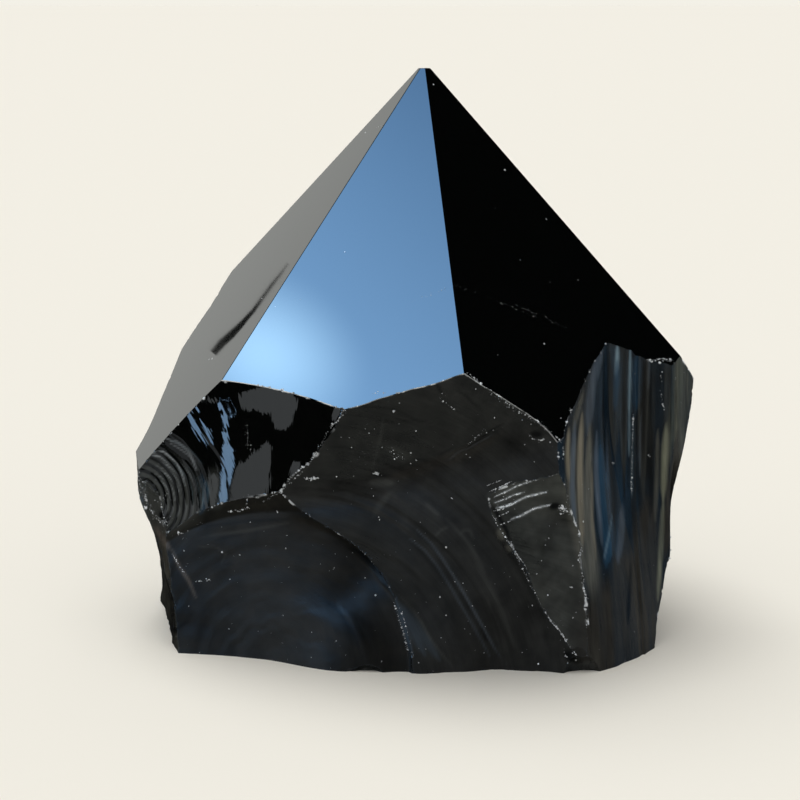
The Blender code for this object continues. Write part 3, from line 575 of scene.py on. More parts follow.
# Runs of crushed crumbs: half width, crumbs in a millimetre, size, and places across and up
Crumbs = namedtuple("Crumbs", "half_width per_mm size path")
CRUMBS = (
    # Ridges round the left bowl
    Crumbs(0.21, 5.0, 0.65, ((-10.5, 45.9), (-14.2, 41.4), (-18.7, 33.2), (-22.2, 29.8), (-26.4, 26.3))),
    Crumbs(0.26, 9.0, 0.98, ((-28.8, 25.0), (-30.8, 24.2), (-32.8, 23.9))),
    Crumbs(0.26, 3.0, 0.65, ((-37.0, 21.7), (-38.6, 21.3))),
    Crumbs(0.35, 12.0, 0.98, ((-42.1, 19.3), (-41.0, 19.5))),
    Crumbs(0.11, 9.0, 0.52, ((-28.7, 28.2), (-29.3, 25.6))),
    Crumbs(0.26, 9.0, 0.98, ((-18.9, 31.6), (-16.0, 31.7))),
    Crumbs(0.14, 2.0, 1.04, ((-24.0, 24.9), (-23.7, 24.7))),
    # Crushed corner and pits of the left bowl
    Crumbs(0.7, 22.0, 0.59, ((-49.1, 26.9), (-48.0, 24.0), (-46.8, 22.1), (-45.1, 21.1), (-43.1, 21.8))),
    Crumbs(0.88, 8.0, 0.45, ((-46.1, 24.7), (-43.1, 26.7))),
    Crumbs(0.61, 7.0, 0.45, ((-29.0, 40.6), (-28.6, 35.6))),
    # Low bowl and its left edge
    Crumbs(0.14, 8.0, 0.72, ((-3.5, 11.3), (-2.5, 8.1), (-1.1, 3.6))),
    Crumbs(0.18, 6.0, 0.85, ((-38.5, 11.7), (-35.5, 12.1))),
    Crumbs(0.14, 7.0, 0.59, ((-42.8, 16.1), (-41.5, 14.0), (-40.0, 12.5))),
    # Ridge between the front face and the wedge
    Crumbs(0.18, 3.0, 0.59, ((14.6, 23.9), (16.1, 22.0))),
    Crumbs(0.28, 16.0, 0.75, ((15.9, 22.5), (17.2, 20.0))),
    Crumbs(0.23, 7.0, 0.6, ((17.2, 20.0), (18.4, 17.5), (20.1, 14.3))),
    Crumbs(0.23, 5.0, 0.5, ((20.1, 14.3), (21.3, 12.1), (22.7, 9.7), (24.4, 7.6))),
    # Scratches across the wedge face
    Crumbs(0.04, 17.0, 0.8, ((13.4, 29.7), (15.4, 30.6), (17.2, 31.8), (19.5, 32.8))),
    Crumbs(0.04, 17.0, 0.7, ((13.4, 28.7), (15.4, 29.3), (16.6, 30.0), (18.6, 30.7))),
    Crumbs(0.04, 17.0, 0.95, ((13.7, 27.8), (16.3, 28.2), (18.6, 29.7), (22.2, 30.8))),
    Crumbs(0.04, 17.0, 0.95, ((16.3, 25.9), (18.3, 26.5), (20.0, 27.5), (22.9, 28.3))),
    Crumbs(1.05, 6.0, 0.39, ((12.7, 28.7), (16.4, 29.6))),
    Crumbs(0.7, 60.0, 0.91, ((24.5, 28.0), (25.6, 27.2))),
    # Ridge between the wedge and the pillar
    Crumbs(0.14, 9.0, 0.72, ((24.8, 38.8), (24.8, 36.3))),
    Crumbs(0.21, 18.0, 0.91, ((28.4, 21.0), (27.8, 18.7))),
    Crumbs(0.21, 18.0, 0.91, ((28.5, 15.4), (29.1, 12.2))),
    Crumbs(0.35, 10.0, 0.78, ((27.3, 25.0), (27.5, 24.3))),
    # Foot of the wedge
    Crumbs(0.14, 7.0, 0.65, ((25.3, 4.3), (26.0, 1.5))),
    Crumbs(0.14, 7.0, 0.65, ((26.4, 4.8), (27.5, 2.9))),
    # Lower edge of the right facet
    Crumbs(0.21, 5.0, 0.72, ((8.3, 52.1), (12.3, 48.9), (16.9, 45.3), (20.5, 43.3), (24.4, 39.6))),
    Crumbs(0.39, 5.0, 0.65, ((12.3, 48.6), (16.9, 44.9), (20.5, 42.9), (24.4, 39.6))),
    # Brow
    Crumbs(0.12, 12.0, 0.65, ((19.0, 40.9), (19.7, 40.0), (21.4, 39.9), (21.5, 40.3))),
    Crumbs(0.26, 5.0, 0.52, ((12.0, 41.8), (8.6, 38.1))),
    Crumbs(1.05, 9.0, 0.59, ((-4.8, 37.5), (-1.8, 35.8))),
    Crumbs(0.18, 12.0, 0.98, ((-7.4, 32.7), (-6.1, 32.7))),
    Crumbs(0.88, 2.5, 0.52, ((-10.1, 34.9), (-6.9, 38.9))),
    Crumbs(0.14, 6.0, 0.59, ((4.0, 47.6), (5.1, 46.5), (6.6, 45.1))),
    Crumbs(0.21, 5.0, 0.65, ((-7.5, 47.5), (-6.0, 48.2), (-4.8, 47.9))),
    # Wedge face
    Crumbs(0.35, 3.0, 0.45, ((21.2, 19.8), (21.5, 18.8))),
    # Pillar
    Crumbs(0.11, 10.0, 0.65, ((38.6, 40.2), (38.5, 35.8), (38.4, 30.6), (38.3, 26.4))),
    Crumbs(0.21, 14.0, 0.91, ((41.4, 32.9), (41.8, 32.7))),
    Crumbs(0.21, 14.0, 0.91, ((34.6, 32.4), (35.0, 32.3))),
    Crumbs(0.26, 12.0, 0.85, ((41.2, 49.5), (43.4, 49.5), (45.9, 49.0))),
    Crumbs(0.35, 3.5, 0.59, ((43.8, 47.2), (44.2, 41.3), (44.8, 40.4))),
    Crumbs(0.88, 1.5, 0.52, ((45.1, 46.6), (48.7, 45.3))),
    Crumbs(0.21, 8.0, 0.78, ((26.0, 44.4), (26.2, 44.1))),
    # Scuffs of the polished facets
    Crumbs(0.26, 5.0, 0.33, ((0.0, 62.5), (3.4, 63.8), (7.0, 65.2))),
    Crumbs(0.35, 2.0, 0.33, ((7.5, 64.8), (14.4, 61.8), (22.3, 58.1))),
    Crumbs(0.18, 4.0, 0.33, ((17.1, 61.0), (22.0, 58.8), (26.8, 56.1))),
    Crumbs(0.07, 8.0, 0.33, ((-6.9, 89.6), (-5.1, 90.5))),
    # Left edge
    Crumbs(0.14, 4.0, 0.39, ((-41.4, 18.6), (-40.3, 18.7))),
    # Short scratches of the wedge face
    Crumbs(0.04, 9.0, 0.7, ((12.0, 31.5), (14.7, 32.7))),
    Crumbs(0.04, 12.0, 0.8, ((12.5, 30.6), (14.4, 31.5), (16.3, 32.6))),
    Crumbs(0.04, 12.0, 0.8, ((13.2, 27.4), (14.9, 27.6), (16.4, 28.6))),
    Crumbs(0.04, 10.0, 0.7, ((14.1, 26.4), (15.8, 27.1))),
    Crumbs(0.05, 9.0, 0.6, ((14.4, 25.1), (16.1, 25.6))),
)

# Single pits and specks: places across and up
SPECKS = (
    (-2.6, 46.3), (-3.5, 44.8), (-8.0, 42.3), (-8.3, 41.4), (-7.7, 40.6), (-6.8, 41.4), (-12.4, 39.7),
    (0.2, 41.1), (5.1, 47.9), (10.0, 49.1), (11.4, 41.6), (8.2, 14.9), (4.3, 12.5), (4.0, 10.9), (0.6, 9.7),
    (9.4, 6.4), (11.8, 3.0), (1.9, 4.0), (0.7, 1.8), (13.6, 15.1), (13.1, 17.7), (0.1, 12.8), (21.0, 1.3),
    (22.7, 22.6), (22.1, 21.5), (20.6, 17.0), (22.5, 13.3), (26.8, 18.0), (26.5, 14.5), (-31.6, 16.4),
    (-30.5, 16.7), (-31.4, 13.9), (-33.7, 16.9), (-40.6, 16.6), (-22.3, 18.7), (-33.8, 21.1), (-30.2, 9.8),
    (-27.1, 4.5), (-24.8, 4.5), (-23.4, 3.8), (-41.9, 2.1), (-43.2, 1.7), (10.5, 44.3), (11.6, 41.6),
    (9.7, 40.4), (17.8, 43.4), (24.5, 43.1), (-6.7, 6.7), (-15.8, 19.8), (23.2, 74.2), (23.5, 63.9),
    (28.7, 63.7), (15.9, 82.5), (-0.5, 62.2), (-11.9, 69.4), (-19.6, 61.4), (18.2, 67.9), (13.8, 53.9),
)

FINISHES = ("polished", "bright", "satin", "matt", "fluted", "crushed")


# ---------------------------------------------------------------- settings


class ObsidianSizes(bpy.types.PropertyGroup):
    edge_flat: bpy.props.FloatProperty(
        name="Edge flat", description="Width of the flat ground on each edge between polished facets",
        default=0.18 * MM, unit="LENGTH")
    ridge_reach: bpy.props.FloatProperty(
        name="Ridge reach", description="How far wear spreads from a ridge",
        default=1.6 * MM, unit="LENGTH")
    chip_spacing: bpy.props.FloatProperty(
        name="Chip spacing", description="Distance between chips along a ridge",
        default=2.4 * MM, unit="LENGTH")
    chip_size: bpy.props.FloatProperty(
        name="Chip size", description="Radius of the largest ridge chip",
        default=0.75 * MM, unit="LENGTH")
    flake_share: bpy.props.FloatProperty(
        name="Flake share", description="Share of the ridges' edges that carry a flake",
        default=0.25, min=0.0, max=1.0)
    face_flakes: bpy.props.IntProperty(
        name="Face flakes", description="Number of flakes scattered over the broken faces",
        default=300, min=0)
    seed: bpy.props.IntProperty(name="Seed", description="Seed of the chips and flakes", default=7)


class ObsidianColours(bpy.types.PropertyGroup):
    glass: bpy.props.FloatVectorProperty(
        name="Glass", description="Body colour of the glass", subtype="COLOR",
        default=(0.0012, 0.0015, 0.0014), min=0.0, max=1.0)
    film: bpy.props.FloatVectorProperty(
        name="Film", description="Thin grey film on the broken faces", subtype="COLOR",
        default=(0.0125, 0.0129, 0.0125), min=0.0, max=1.0)
    crushed: bpy.props.FloatVectorProperty(
        name="Crushed glass", description="Crushed glass on chips and ridges", subtype="COLOR",
        default=(0.85, 0.9, 0.95), min=0.0, max=1.0)
    floor: bpy.props.FloatVectorProperty(
        name="Floor", description="Floor of the stage", subtype="COLOR",
        default=(0.86, 0.83, 0.745), min=0.0, max=1.0)
    backdrop: bpy.props.FloatVectorProperty(
        name="Backdrop", description="Tone beyond the floor's edge", subtype="COLOR",
        default=(0.9, 0.875, 0.795), min=0.0, max=1.0)


class StageSettings(bpy.types.PropertyGroup):
    lens: bpy.props.FloatProperty(
        name="Lens", description="Focal length of the camera, in mm", default=85.0, min=10.0)
    distance: bpy.props.FloatProperty(
        name="Distance", description="Camera to target", default=0.343373, unit="LENGTH")
    elevation: bpy.props.FloatProperty(
        name="Elevation", description="Height angle of the camera",
        default=radians(12.0), unit="ROTATION")
    target: bpy.props.FloatVectorProperty(
        name="Target", description="Point that the camera looks at",
        default=(-0.00248, -0.0078, 0.040565), subtype="XYZ", unit="LENGTH")
    floor_width: bpy.props.FloatProperty(
        name="Floor width", description="Side of the square floor", default=60.0, unit="LENGTH")
    key_strength: bpy.props.FloatProperty(
        name="Key strength", description="Strength of the key light, in W/m2", default=1.25, min=0.0)
    key_softness: bpy.props.FloatProperty(
        name="Key softness", description="Angular size of the key light",
        default=radians(40.0), unit="ROTATION")
    top_strength: bpy.props.FloatProperty(
        name="Top strength", description="Strength of the light straight above, in W/m2",
        default=0.75, min=0.0)
    top_softness: bpy.props.FloatProperty(
        name="Top softness", description="Angular size of the top light",
        default=radians(60.0), unit="ROTATION")
    key_turn: bpy.props.FloatVectorProperty(
        name="Key turn", description="Rotation of the key light, which first points straight down",
        default=(radians(-28.0), 0.0, radians(35.0)), subtype="EULER", unit="ROTATION")


# ---------------------------------------------------------------- stone


def link(name, mesh):
    thing = bpy.data.objects.new(name, mesh)
    bpy.context.scene.collection.objects.link(thing)
    return thing


def link_bm(name, bm):
    """Object of an edited mesh, which is then closed."""
    mesh = bpy.data.meshes.new(name)
    bm.to_mesh(mesh)
    bm.free()
    return link(name, mesh)


def remove(*things):
    for thing in things:
        mesh = thing.data
        bpy.data.objects.remove(thing, do_unlink=True)
        if mesh is not None and mesh.users == 0:
            bpy.data.meshes.remove(mesh)


def cut_flat(bm, point, normal):
    """Cut the closed mesh by a plane, drop what lies outside it and close the hole."""
    everything = bm.verts[:] + bm.edges[:] + bm.faces[:]
    cut = bmesh.ops.bisect_plane(
        bm, geom=everything, plane_co=point, plane_no=normal, clear_outer=True, dist=1e-7
    )
    rim = [item for item in cut["geom_cut"] if isinstance(item, bmesh.types.BMEdge)]
    bmesh.ops.contextual_create(bm, geom=rim)


def faceted_block(edge_flat):
    """Block with the polished facets, a small flat on each edge between them, the tip and the foot."""
    bm = bmesh.new()
    bmesh.ops.create_cube(bm, size=1.0)
    size = Vector((BLOCK_WIDTH, BLOCK_DEPTH, 2.5 * STONE_HEIGHT)) * MM
    bmesh.ops.scale(bm, verts=bm.verts, vec=size)
    apex = (TIP_AXIS + Vector((0.0, 0.0, APEX_HEIGHT))) * MM
    normals = []
    for faces, slope in FACETS.values():
        level = sin(radians(slope))
        normal = Vector((level * cos(radians(faces)), level * sin(radians(faces)), cos(radians(slope))))
        cut_flat(bm, apex, normal)
        normals.append((faces % 360.0, normal))
    normals.sort(key=lambda pair: pair[0])
    for i, (_, normal) in enumerate(normals):
        between = (normal + normals[i - 1][1]).normalized()
        half_angle = 0.5 * normal.angle(normals[i - 1][1])
        cut_flat(bm, apex - between * (0.5 * edge_flat * MM * tan(half_angle)), between)
    cut_flat(bm, (0.0, 0.0, STONE_HEIGHT * MM), (0.0, 0.0, 1.0))
    cut_flat(bm, (0.0, 0.0, 0.0), (0.0, 0.0, -1.0))
    bmesh.ops.recalc_face_normals(bm, faces=bm.faces)
    return link_bm("block", bm)


def scar_frame(scar):
    """Middle of a scar's plane, and its right, up and outward directions."""
    a, t = radians(scar.faces), radians(scar.overhang)
    out = Vector((cos(t) * cos(a), cos(t) * sin(a), -sin(t)))
    right = Vector((-sin(a), cos(a), 0.0))
    middle = TIP_AXIS + Vector((0.0, 0.0, scar.height)) + out * scar.reach
    return middle, right, out.cross(right), out


def scar_cutter(name, scar, index):
    """Closed slab whose inner face is the scar's relief and whose back is flat."""
    middle, right, up, out = scar_frame(scar)
    columns = round((scar.span_u[1] - scar.span_u[0]) / scar.step[0])
    rows = round((scar.span_v[1] - scar.span_v[0]) / scar.step[1])
    points = []
    for j in range(rows + 1):
        v = scar.span_v[0] + (scar.span_v[1] - scar.span_v[0]) * j / rows
        for i in range(columns + 1):
            u = scar.span_u[0] + (scar.span_u[1] - scar.span_u[0]) * i / columns
            rise = min(scar.relief(u, v), RELIEF_LIMIT)
            points.append((middle + right * u + up * v + out * rise) * MM)
    width = columns + 1
    faces = []
    for j in range(rows):
        for i in range(columns):
            a = j * width + i
            faces += [(a, a + width + 1, a + 1), (a, a + width, a + width + 1)]
    rim = list(range(columns)) + [j * width + columns for j in range(rows)]
    rim += [rows * width + i for i in range(columns, 0, -1)] + [j * width for j in range(rows, 0, -1)]
    first = len(points)
    for i in rim:
        rise = (points[i] - middle * MM).dot(out)
        points.append(points[i] + out * (CUTTER_BACK * MM - rise))
    for k in range(len(rim)):
        after = (k + 1) % len(rim)
        faces.append((rim[k], rim[after], first + after, first + k))
    faces.append(tuple(first + k for k in range(len(rim))))
    mesh = bpy.data.meshes.new(name)
    mesh.from_pydata(points, [], faces)
    mesh.polygons.foreach_set("material_index", [index] * len(faces))
    mesh.update()
    return link(name, mesh)


def subtract(stone, cutter):
    cut = stone.modifiers.new(cutter.name, "BOOLEAN")
    cut.operation = "DIFFERENCE"
    cut.solver = "MANIFOLD"
    cut.object = cutter


def freeze(stone):
    """Turn the stone's modifiers into its mesh."""
    graph = bpy.context.evaluated_depsgraph_get()
    mesh = bpy.data.meshes.new_from_object(stone.evaluated_get(graph))
    stone.modifiers.clear()
    old = stone.data
    stone.data = mesh
    bpy.data.meshes.remove(old)


def chip_cutter(name, chip, index):
    centre, radius = chip
    swell, wide, fine_swell, close = 0.05, 0.5, 0.02, 1.7
    bm = bmesh.new()
    bmesh.ops.create_icosphere(bm, subdivisions=5, radius=radius * MM)
    for vert in bm.verts:
        place = vert.co / MM
        vert.co *= 1.0 + swell * noise.noise(place * wide) + fine_swell * noise.noise(place * close)
    bmesh.ops.translate(bm, verts=bm.verts, vec=(Vector(centre) + TIP_AXIS) * MM)
    for face in bm.faces:
        face.material_index = index
    return link_bm(name, bm)


def cut_all(stone, cutters):
    for cutter in cutters:
        subtract(stone, cutter)
    bpy.context.view_layer.update()
    freeze(stone)
    remove(*cutters)


def clean_edge(edge):
    """Whether an edge shows no wear, by its place and by the facet it borders."""
    place = edge.verts[0].co
    low_corner = place.x < CORNER_END * MM and place.y < 0.0 and place.z < CORNER_TOP * MM
    if place.z < FOOT_BAND * MM or low_corner:
        return True
    facets = [face for face in edge.link_faces if face.material_index == 0]
    if not facets:
        return False
    facing = facets[0].normal
    over_pillar = facing.x > ASIDE and place.x > PILLAR_START * MM
    return facing.y < 0.0 and (facing.y > HARDLY_FORWARD or over_pillar)


def ridge_edges(bm):
    """Edges where two scars, or a scar and a facet, meet."""
    return [
        edge for edge in bm.edges
        if len(edge.link_faces) == 2
        and edge.link_faces[0].material_index != edge.link_faces[1].material_index
    ]


def ridge_lines(stone):
    """The stone's ridges as loose edges, each point with its outward direction."""
    bm = bmesh.new()
    bm.from_mesh(stone.data)
    lowest = 0.3 * MM
    edges = [e for e in ridge_edges(bm) if min(v.co.z for v in e.verts) > lowest]
    verts = sorted({vert for edge in edges for vert in edge.verts}, key=lambda vert: vert.index)
    number = {vert: i for i, vert in enumerate(verts)}
    mesh = bpy.data.meshes.new("ridges")
    mesh.from_pydata(
        [vert.co for vert in verts], [(number[e.verts[0]], number[e.verts[1]]) for e in edges], []
    )
    out = mesh.attributes.new("out", "FLOAT_VECTOR", "POINT")
    out.data.foreach_set("vector", [x for vert in verts for x in vert.normal])
    bm.free()
    return link("ridges", mesh)


# ---------------------------------------------------------------- node tree helpers


FULL_TURN = 6.283


def new_tree(name, inputs):
    """Geometry Nodes tree with named inputs, given as (name, socket type, default)."""
    tree = bpy.data.node_groups.new(name, "GeometryNodeTree")
    tree.interface.new_socket("Geometry", in_out="INPUT", socket_type="NodeSocketGeometry")
    for label, kind, default in inputs:
        socket = tree.interface.new_socket(label, in_out="INPUT", socket_type=kind)
        if default is not None:
            socket.default_value = default
    tree.interface.new_socket("Geometry", in_out="OUTPUT", socket_type="NodeSocketGeometry")
    return tree, tree.nodes.new("NodeGroupInput"), tree.nodes.new("NodeGroupOutput")


def add(tree, kind, settings=None, **inputs):
    """New node with its settings and with inputs that are values or other nodes' outputs."""
    node = tree.nodes.new(kind)
    for key, value in (settings or {}).items():
        setattr(node, key, value)
    for key, value in inputs.items():
        place = int(key[1:]) if key[0] == "i" and key[1:].isdigit() else key.replace("_", " ")
        socket = node.inputs[place]
        if isinstance(value, bpy.types.NodeSocket):
            tree.links.new(value, socket)
        else:
            socket.default_value = value
    return node


def maths(tree, operation, a, b=None, c=None, clamp=False):
    inputs = {"i%d" % i: x for i, x in enumerate((a, b, c)) if x is not None}
    return add(tree, "ShaderNodeMath", {"operation": operation, "use_clamp": clamp}, **inputs).outputs[0]


def vector_maths(tree, operation, a, b=None, scale=None):
    node = add(tree, "ShaderNodeVectorMath", {"operation": operation}, i0=a)
    for value, place in ((b, 1), (scale, 3)):
        if isinstance(value, bpy.types.NodeSocket):
            tree.links.new(value, node.inputs[place])
        elif value is not None:
            node.inputs[place].default_value = value
    return node.outputs[0]


def random_value(tree, low, high, seed, shift, kind="FLOAT"):
    """Random Value node; its seed is the tree's own seed plus a shift."""
    node = add(tree, "FunctionNodeRandomValue", {"data_type": kind})
    live = [socket for socket in node.inputs if socket.enabled]
    by_name = {socket.name: socket for socket in live}
    by_name["Min"].default_value = low
    by_name["Max"].default_value = high
    tree.links.new(maths(tree, "ADD", seed, float(shift)), by_name["Seed"])
    return next(socket for socket in node.outputs if socket.enabled)


def run_tree(thing, tree, values):
    """Run a tree on an object once, with inputs set by identifier, and return the result as a mesh."""
    names = {item.name: item.identifier for item in tree.interface.items_tree if item.in_out == "INPUT"}
    modifier = thing.modifiers.new(tree.name, "NODES")
    modifier.node_group = tree
    for label, value in values.items():
        modifier[names[label]] = value
    bpy.context.view_layer.update()
    graph = bpy.context.evaluated_depsgraph_get()
    mesh = bpy.data.meshes.new_from_object(thing.evaluated_get(graph))
    thing.modifiers.remove(modifier)
    return mesh


def random_size(tree, given, steepness):
    """Random size between the tree's smallest and largest; the steeper, the fewer are large."""
    luck = maths(tree, "POWER", random_value(tree, 0.0, 1.0, given.outputs["Seed"], 2), steepness)
    spread = maths(tree, "SUBTRACT", given.outputs["Largest"], given.outputs["Smallest"])
    return maths(tree, "MULTIPLY_ADD", luck, spread, given.outputs["Smallest"])


def named_value(tree, name, kind="FLOAT"):
    return add(tree, "GeometryNodeInputNamedAttribute", {"data_type": kind}, Name=name).outputs[0]


def random_turn(tree, seed, shift):
    return random_value(tree, (0.0,) * 3, (FULL_TURN,) * 3, seed, shift, "FLOAT_VECTOR")


def place_and_paint(tree, result, points, shape, turn, scale, material):
    """End a tree: a turned and scaled shape on every point, made real and painted."""
    placed = add(tree, "GeometryNodeInstanceOnPoints",
                 Points=points, Instance=shape, Rotation=turn, Scale=scale)
    real = add(tree, "GeometryNodeRealizeInstances", Geometry=placed.outputs[0])
    painted = add(tree, "GeometryNodeSetMaterial", Geometry=real.outputs[0], Material=material)
    tree.links.new(painted.outputs[0], result.inputs[0])


def lumpy_ball(tree):
    ball = add(tree, "GeometryNodeMeshIcoSphere", Radius=1.0, Subdivisions=3)
    lumps = add(tree, "ShaderNodeTexNoise", {"noise_dimensions": "3D"}, Scale=1.3, Detail=1.0)
    swell = vector_maths(tree, "SCALE", add(tree, "GeometryNodeInputPosition").outputs[0],
                         scale=maths(tree, "MULTIPLY_ADD", lumps.outputs[0], 0.5, -0.25))
    return add(tree, "GeometryNodeSetPosition", Geometry=ball.outputs[0], Offset=swell).outputs[0]


def chip_tree(material):
    """Small lumpy balls sunk along the ridges, to be bitten out of the stone."""
    tree, given, result = new_tree("Ridge chips", (
        ("Spacing", "NodeSocketFloat", 0.002),
        ("Smallest", "NodeSocketFloat", 0.0002),
        ("Largest", "NodeSocketFloat", 0.0008),
        ("Lift", "NodeSocketFloat", 0.7),
        ("Share", "NodeSocketFloat", 0.7),
        ("Seed", "NodeSocketInt", 0),
    ))
    seed = given.outputs["Seed"]
    line = add(tree, "GeometryNodeMeshToCurve", Mesh=given.outputs["Geometry"])
    points = add(tree, "GeometryNodeCurveToPoints", {"mode": "LENGTH"},
                 Curve=line.outputs[0], Length=given.outputs["Spacing"])
    share = random_value(tree, 0.0, 1.0, seed, 1)
    keep = maths(tree, "LESS_THAN", share, given.outputs["Share"])
    apart = add(tree, "GeometryNodeMergeByDistance",
                Geometry=points.outputs[0], Distance=given.outputs["Spacing"])
    thinned = add(tree, "GeometryNodeSeparateGeometry", {"domain": "POINT"},
                  Geometry=apart.outputs[0], Selection=keep)
    radius = random_size(tree, given, 3.0)
    sunk = maths(tree, "MULTIPLY", radius, given.outputs["Lift"])
    lift = vector_maths(tree, "SCALE", named_value(tree, "out", "FLOAT_VECTOR"), scale=sunk)
    jitter = random_value(tree, (-0.0001,) * 3, (0.0001,) * 3, seed, 3, "FLOAT_VECTOR")
    offset = vector_maths(tree, "ADD", lift, jitter)
    stored = add(tree, "GeometryNodeStoreNamedAttribute", {"data_type": "FLOAT", "domain": "POINT"},
                 Geometry=thinned.outputs[0], Name="radius", Value=radius)
    moved = add(tree, "GeometryNodeSetPosition", Geometry=stored.outputs[0], Offset=offset)
    place_and_paint(tree, result, moved.outputs[0], lumpy_ball(tree), random_turn(tree, seed, 4),
                    named_value(tree, "radius"), material)
    return tree


def flake_tree(material):
    """Tiny shards that lie on the ridges, the strokes and the broken faces."""
    tree, given, result = new_tree("Crushed flakes", (
        ("Smallest", "NodeSocketFloat", 0.00008),
        ("Largest", "NodeSocketFloat", 0.0004),
        ("Seed", "NodeSocketInt", 0),
    ))
    seed = given.outputs["Seed"]
    points = add(tree, "GeometryNodeMeshToPoints", Mesh=given.outputs["Geometry"])
    size = maths(tree, "MULTIPLY", random_size(tree, given, 4.0), named_value(tree, "weight"))
    shard = add(tree, "GeometryNodeMeshIcoSphere", Radius=1.0, Subdivisions=1)
    crumple = random_value(tree, (-0.45,) * 3, (0.45,) * 3, seed, 5, "FLOAT_VECTOR")
    broken = add(tree, "GeometryNodeSetPosition", Geometry=shard.outputs[0], Offset=crumple)
    stretch = random_value(tree, (0.4,) * 3, (1.2,) * 3, seed, 7, "FLOAT_VECTOR")
    place_and_paint(tree, result, points.outputs[0], broken.outputs[0], random_turn(tree, seed, 6),
                    vector_maths(tree, "SCALE", stretch, scale=size), material)
    return tree


def nearness(mesh_points, line_points, reach):
    """1 on the given points and 0 at the reach from them, for each point of the mesh."""
    tree = kdtree.KDTree(len(line_points))
    for i, place in enumerate(line_points):
        tree.insert(place, i)
    tree.balance()
    return [max(1.0 - tree.find(place)[2] / reach, 0.0) for place in mesh_points]


def inside_path(places, path):
    """How far each place lies inside a path of (across, up, half width) points; negative outside it."""
    best = np.full(len(places), -9.0)
    for start, end in zip(path, path[1:]):
        start, end = np.array(start), np.array(end)
        run = end[:2] - start[:2]
        t = np.clip((places - start[:2]) @ run / max(run @ run, 1e-9), 0.0, 1.0)
        away = np.hypot(*(places - start[:2] - t[:, None] * run).T)
        best = np.maximum(best, start[2] + t * (end[2] - start[2]) - away)
    return best


def tapered(path, half_width):
    """The stroke's path in even steps, with its half widths, which run out towards both ends."""
    steps, narrowing = 9, 0.85
    corners = np.array(path)
    stops = np.concatenate(([0.0], np.cumsum(np.hypot(*np.diff(corners, axis=0).T))))
    share = np.linspace(0.0, 1.0, steps)
    places = [np.interp(share * stops[-1], stops, corners[:, k]) for k in (0, 1)]
    return np.column_stack((*places, half_width * (1.0 - narrowing * (2.0 * share - 1.0) ** 4)))


def film_and_painted_light(points, across_up, scar_of, colours):
    """Film colour of each point: its scar's own tint in soft blotches, then the strokes, which also paint
    shade, highlights and reflections.
    """
    blotch, small_blotch, unevenness = 3.0 * MM, MM, 0.5
    sharpest, softening = 0.25, 0.6
    tints = np.array([BARE_TINT] + [scar.tint for scar in SCARS.values()] + [CHIP_TINT])
    blotches = [noise.noise(point / blotch) + 0.5 * noise.noise(point / small_blotch) for point in points]
    film = tints[scar_of] * np.array(colours.film) * (1.0 + unevenness * np.array(blotches))[:, None]
    for stroke in STROKES:
        inside = inside_path(across_up, tapered(stroke.path, stroke.half_width))
        softness = sharpest + softening * stroke.half_width
        share = stroke.strength * np.clip(0.5 + inside / softness, 0.0, 1.0)[:, None]
        film = film * (1.0 - share) + np.array(TONES[stroke.tone]) * share
    return film


def store(mesh, name, kind, key, values):
    mesh.attributes.new(name, kind, "POINT").data.foreach_set(key, values)


def points_of(edges):
    return [vert.co.copy() for vert in {vert for edge in edges for vert in edge.verts}]


def mark_ridges(bm):
    """Keep the ridges sharp and the broken faces smooth; return points of the worn ridges and rims."""
    ridges = ridge_edges(bm)
    for edge in bm.edges:
        edge.smooth = True
    for edge in ridges:
        edge.smooth = False
    for face in bm.faces:
        face.smooth = face.material_index != 0
    rough = [edge for edge in ridges if not clean_edge(edge)]
    rims = [edge for edge in rough if 0 in {face.material_index for face in edge.link_faces}]
    worn = [edge for edge in rough if edge.calc_face_angle(0.0) > radians(FLATTEST_RIDGE)]
    return points_of(worn), points_of(rims)


def grain_and_shell(places, scar_of):
    """A pattern place that follows each scar's break, and how far each place is from its blow."""
    no_blow, bearing_scale, along_scale, upright_lean, apart = 100.0, 25.0, 0.08, 0.35, 10.0
    grain = places.copy()
    shell = np.full(len(places), no_blow)
    for index, scar in enumerate(SCARS.values(), start=1):
        here = scar_of == index
        middle, right, up, _ = scar_frame(scar)
        offset = places[here] - np.array(middle)
        u, v = offset @ np.array(right), offset @ np.array(up)
        shell[here] = np.hypot(u - scar.blow[0], v - scar.blow[1])
        reach = np.hypot(u - scar.root[0], v - scar.root[1])
        bearing = np.arctan2(v - scar.root[1], u - scar.root[0]) * bearing_scale
        if scar.grain == "upright":
            across, along = places[here][:, 0] + upright_lean * places[here][:, 1], v
        elif scar.grain == "rings":
            across, along = reach, bearing
        else:
            across, along = bearing, reach
        grain[here] = np.column_stack((across, along * along_scale, np.full(len(u), apart * index)))
    return grain, shell


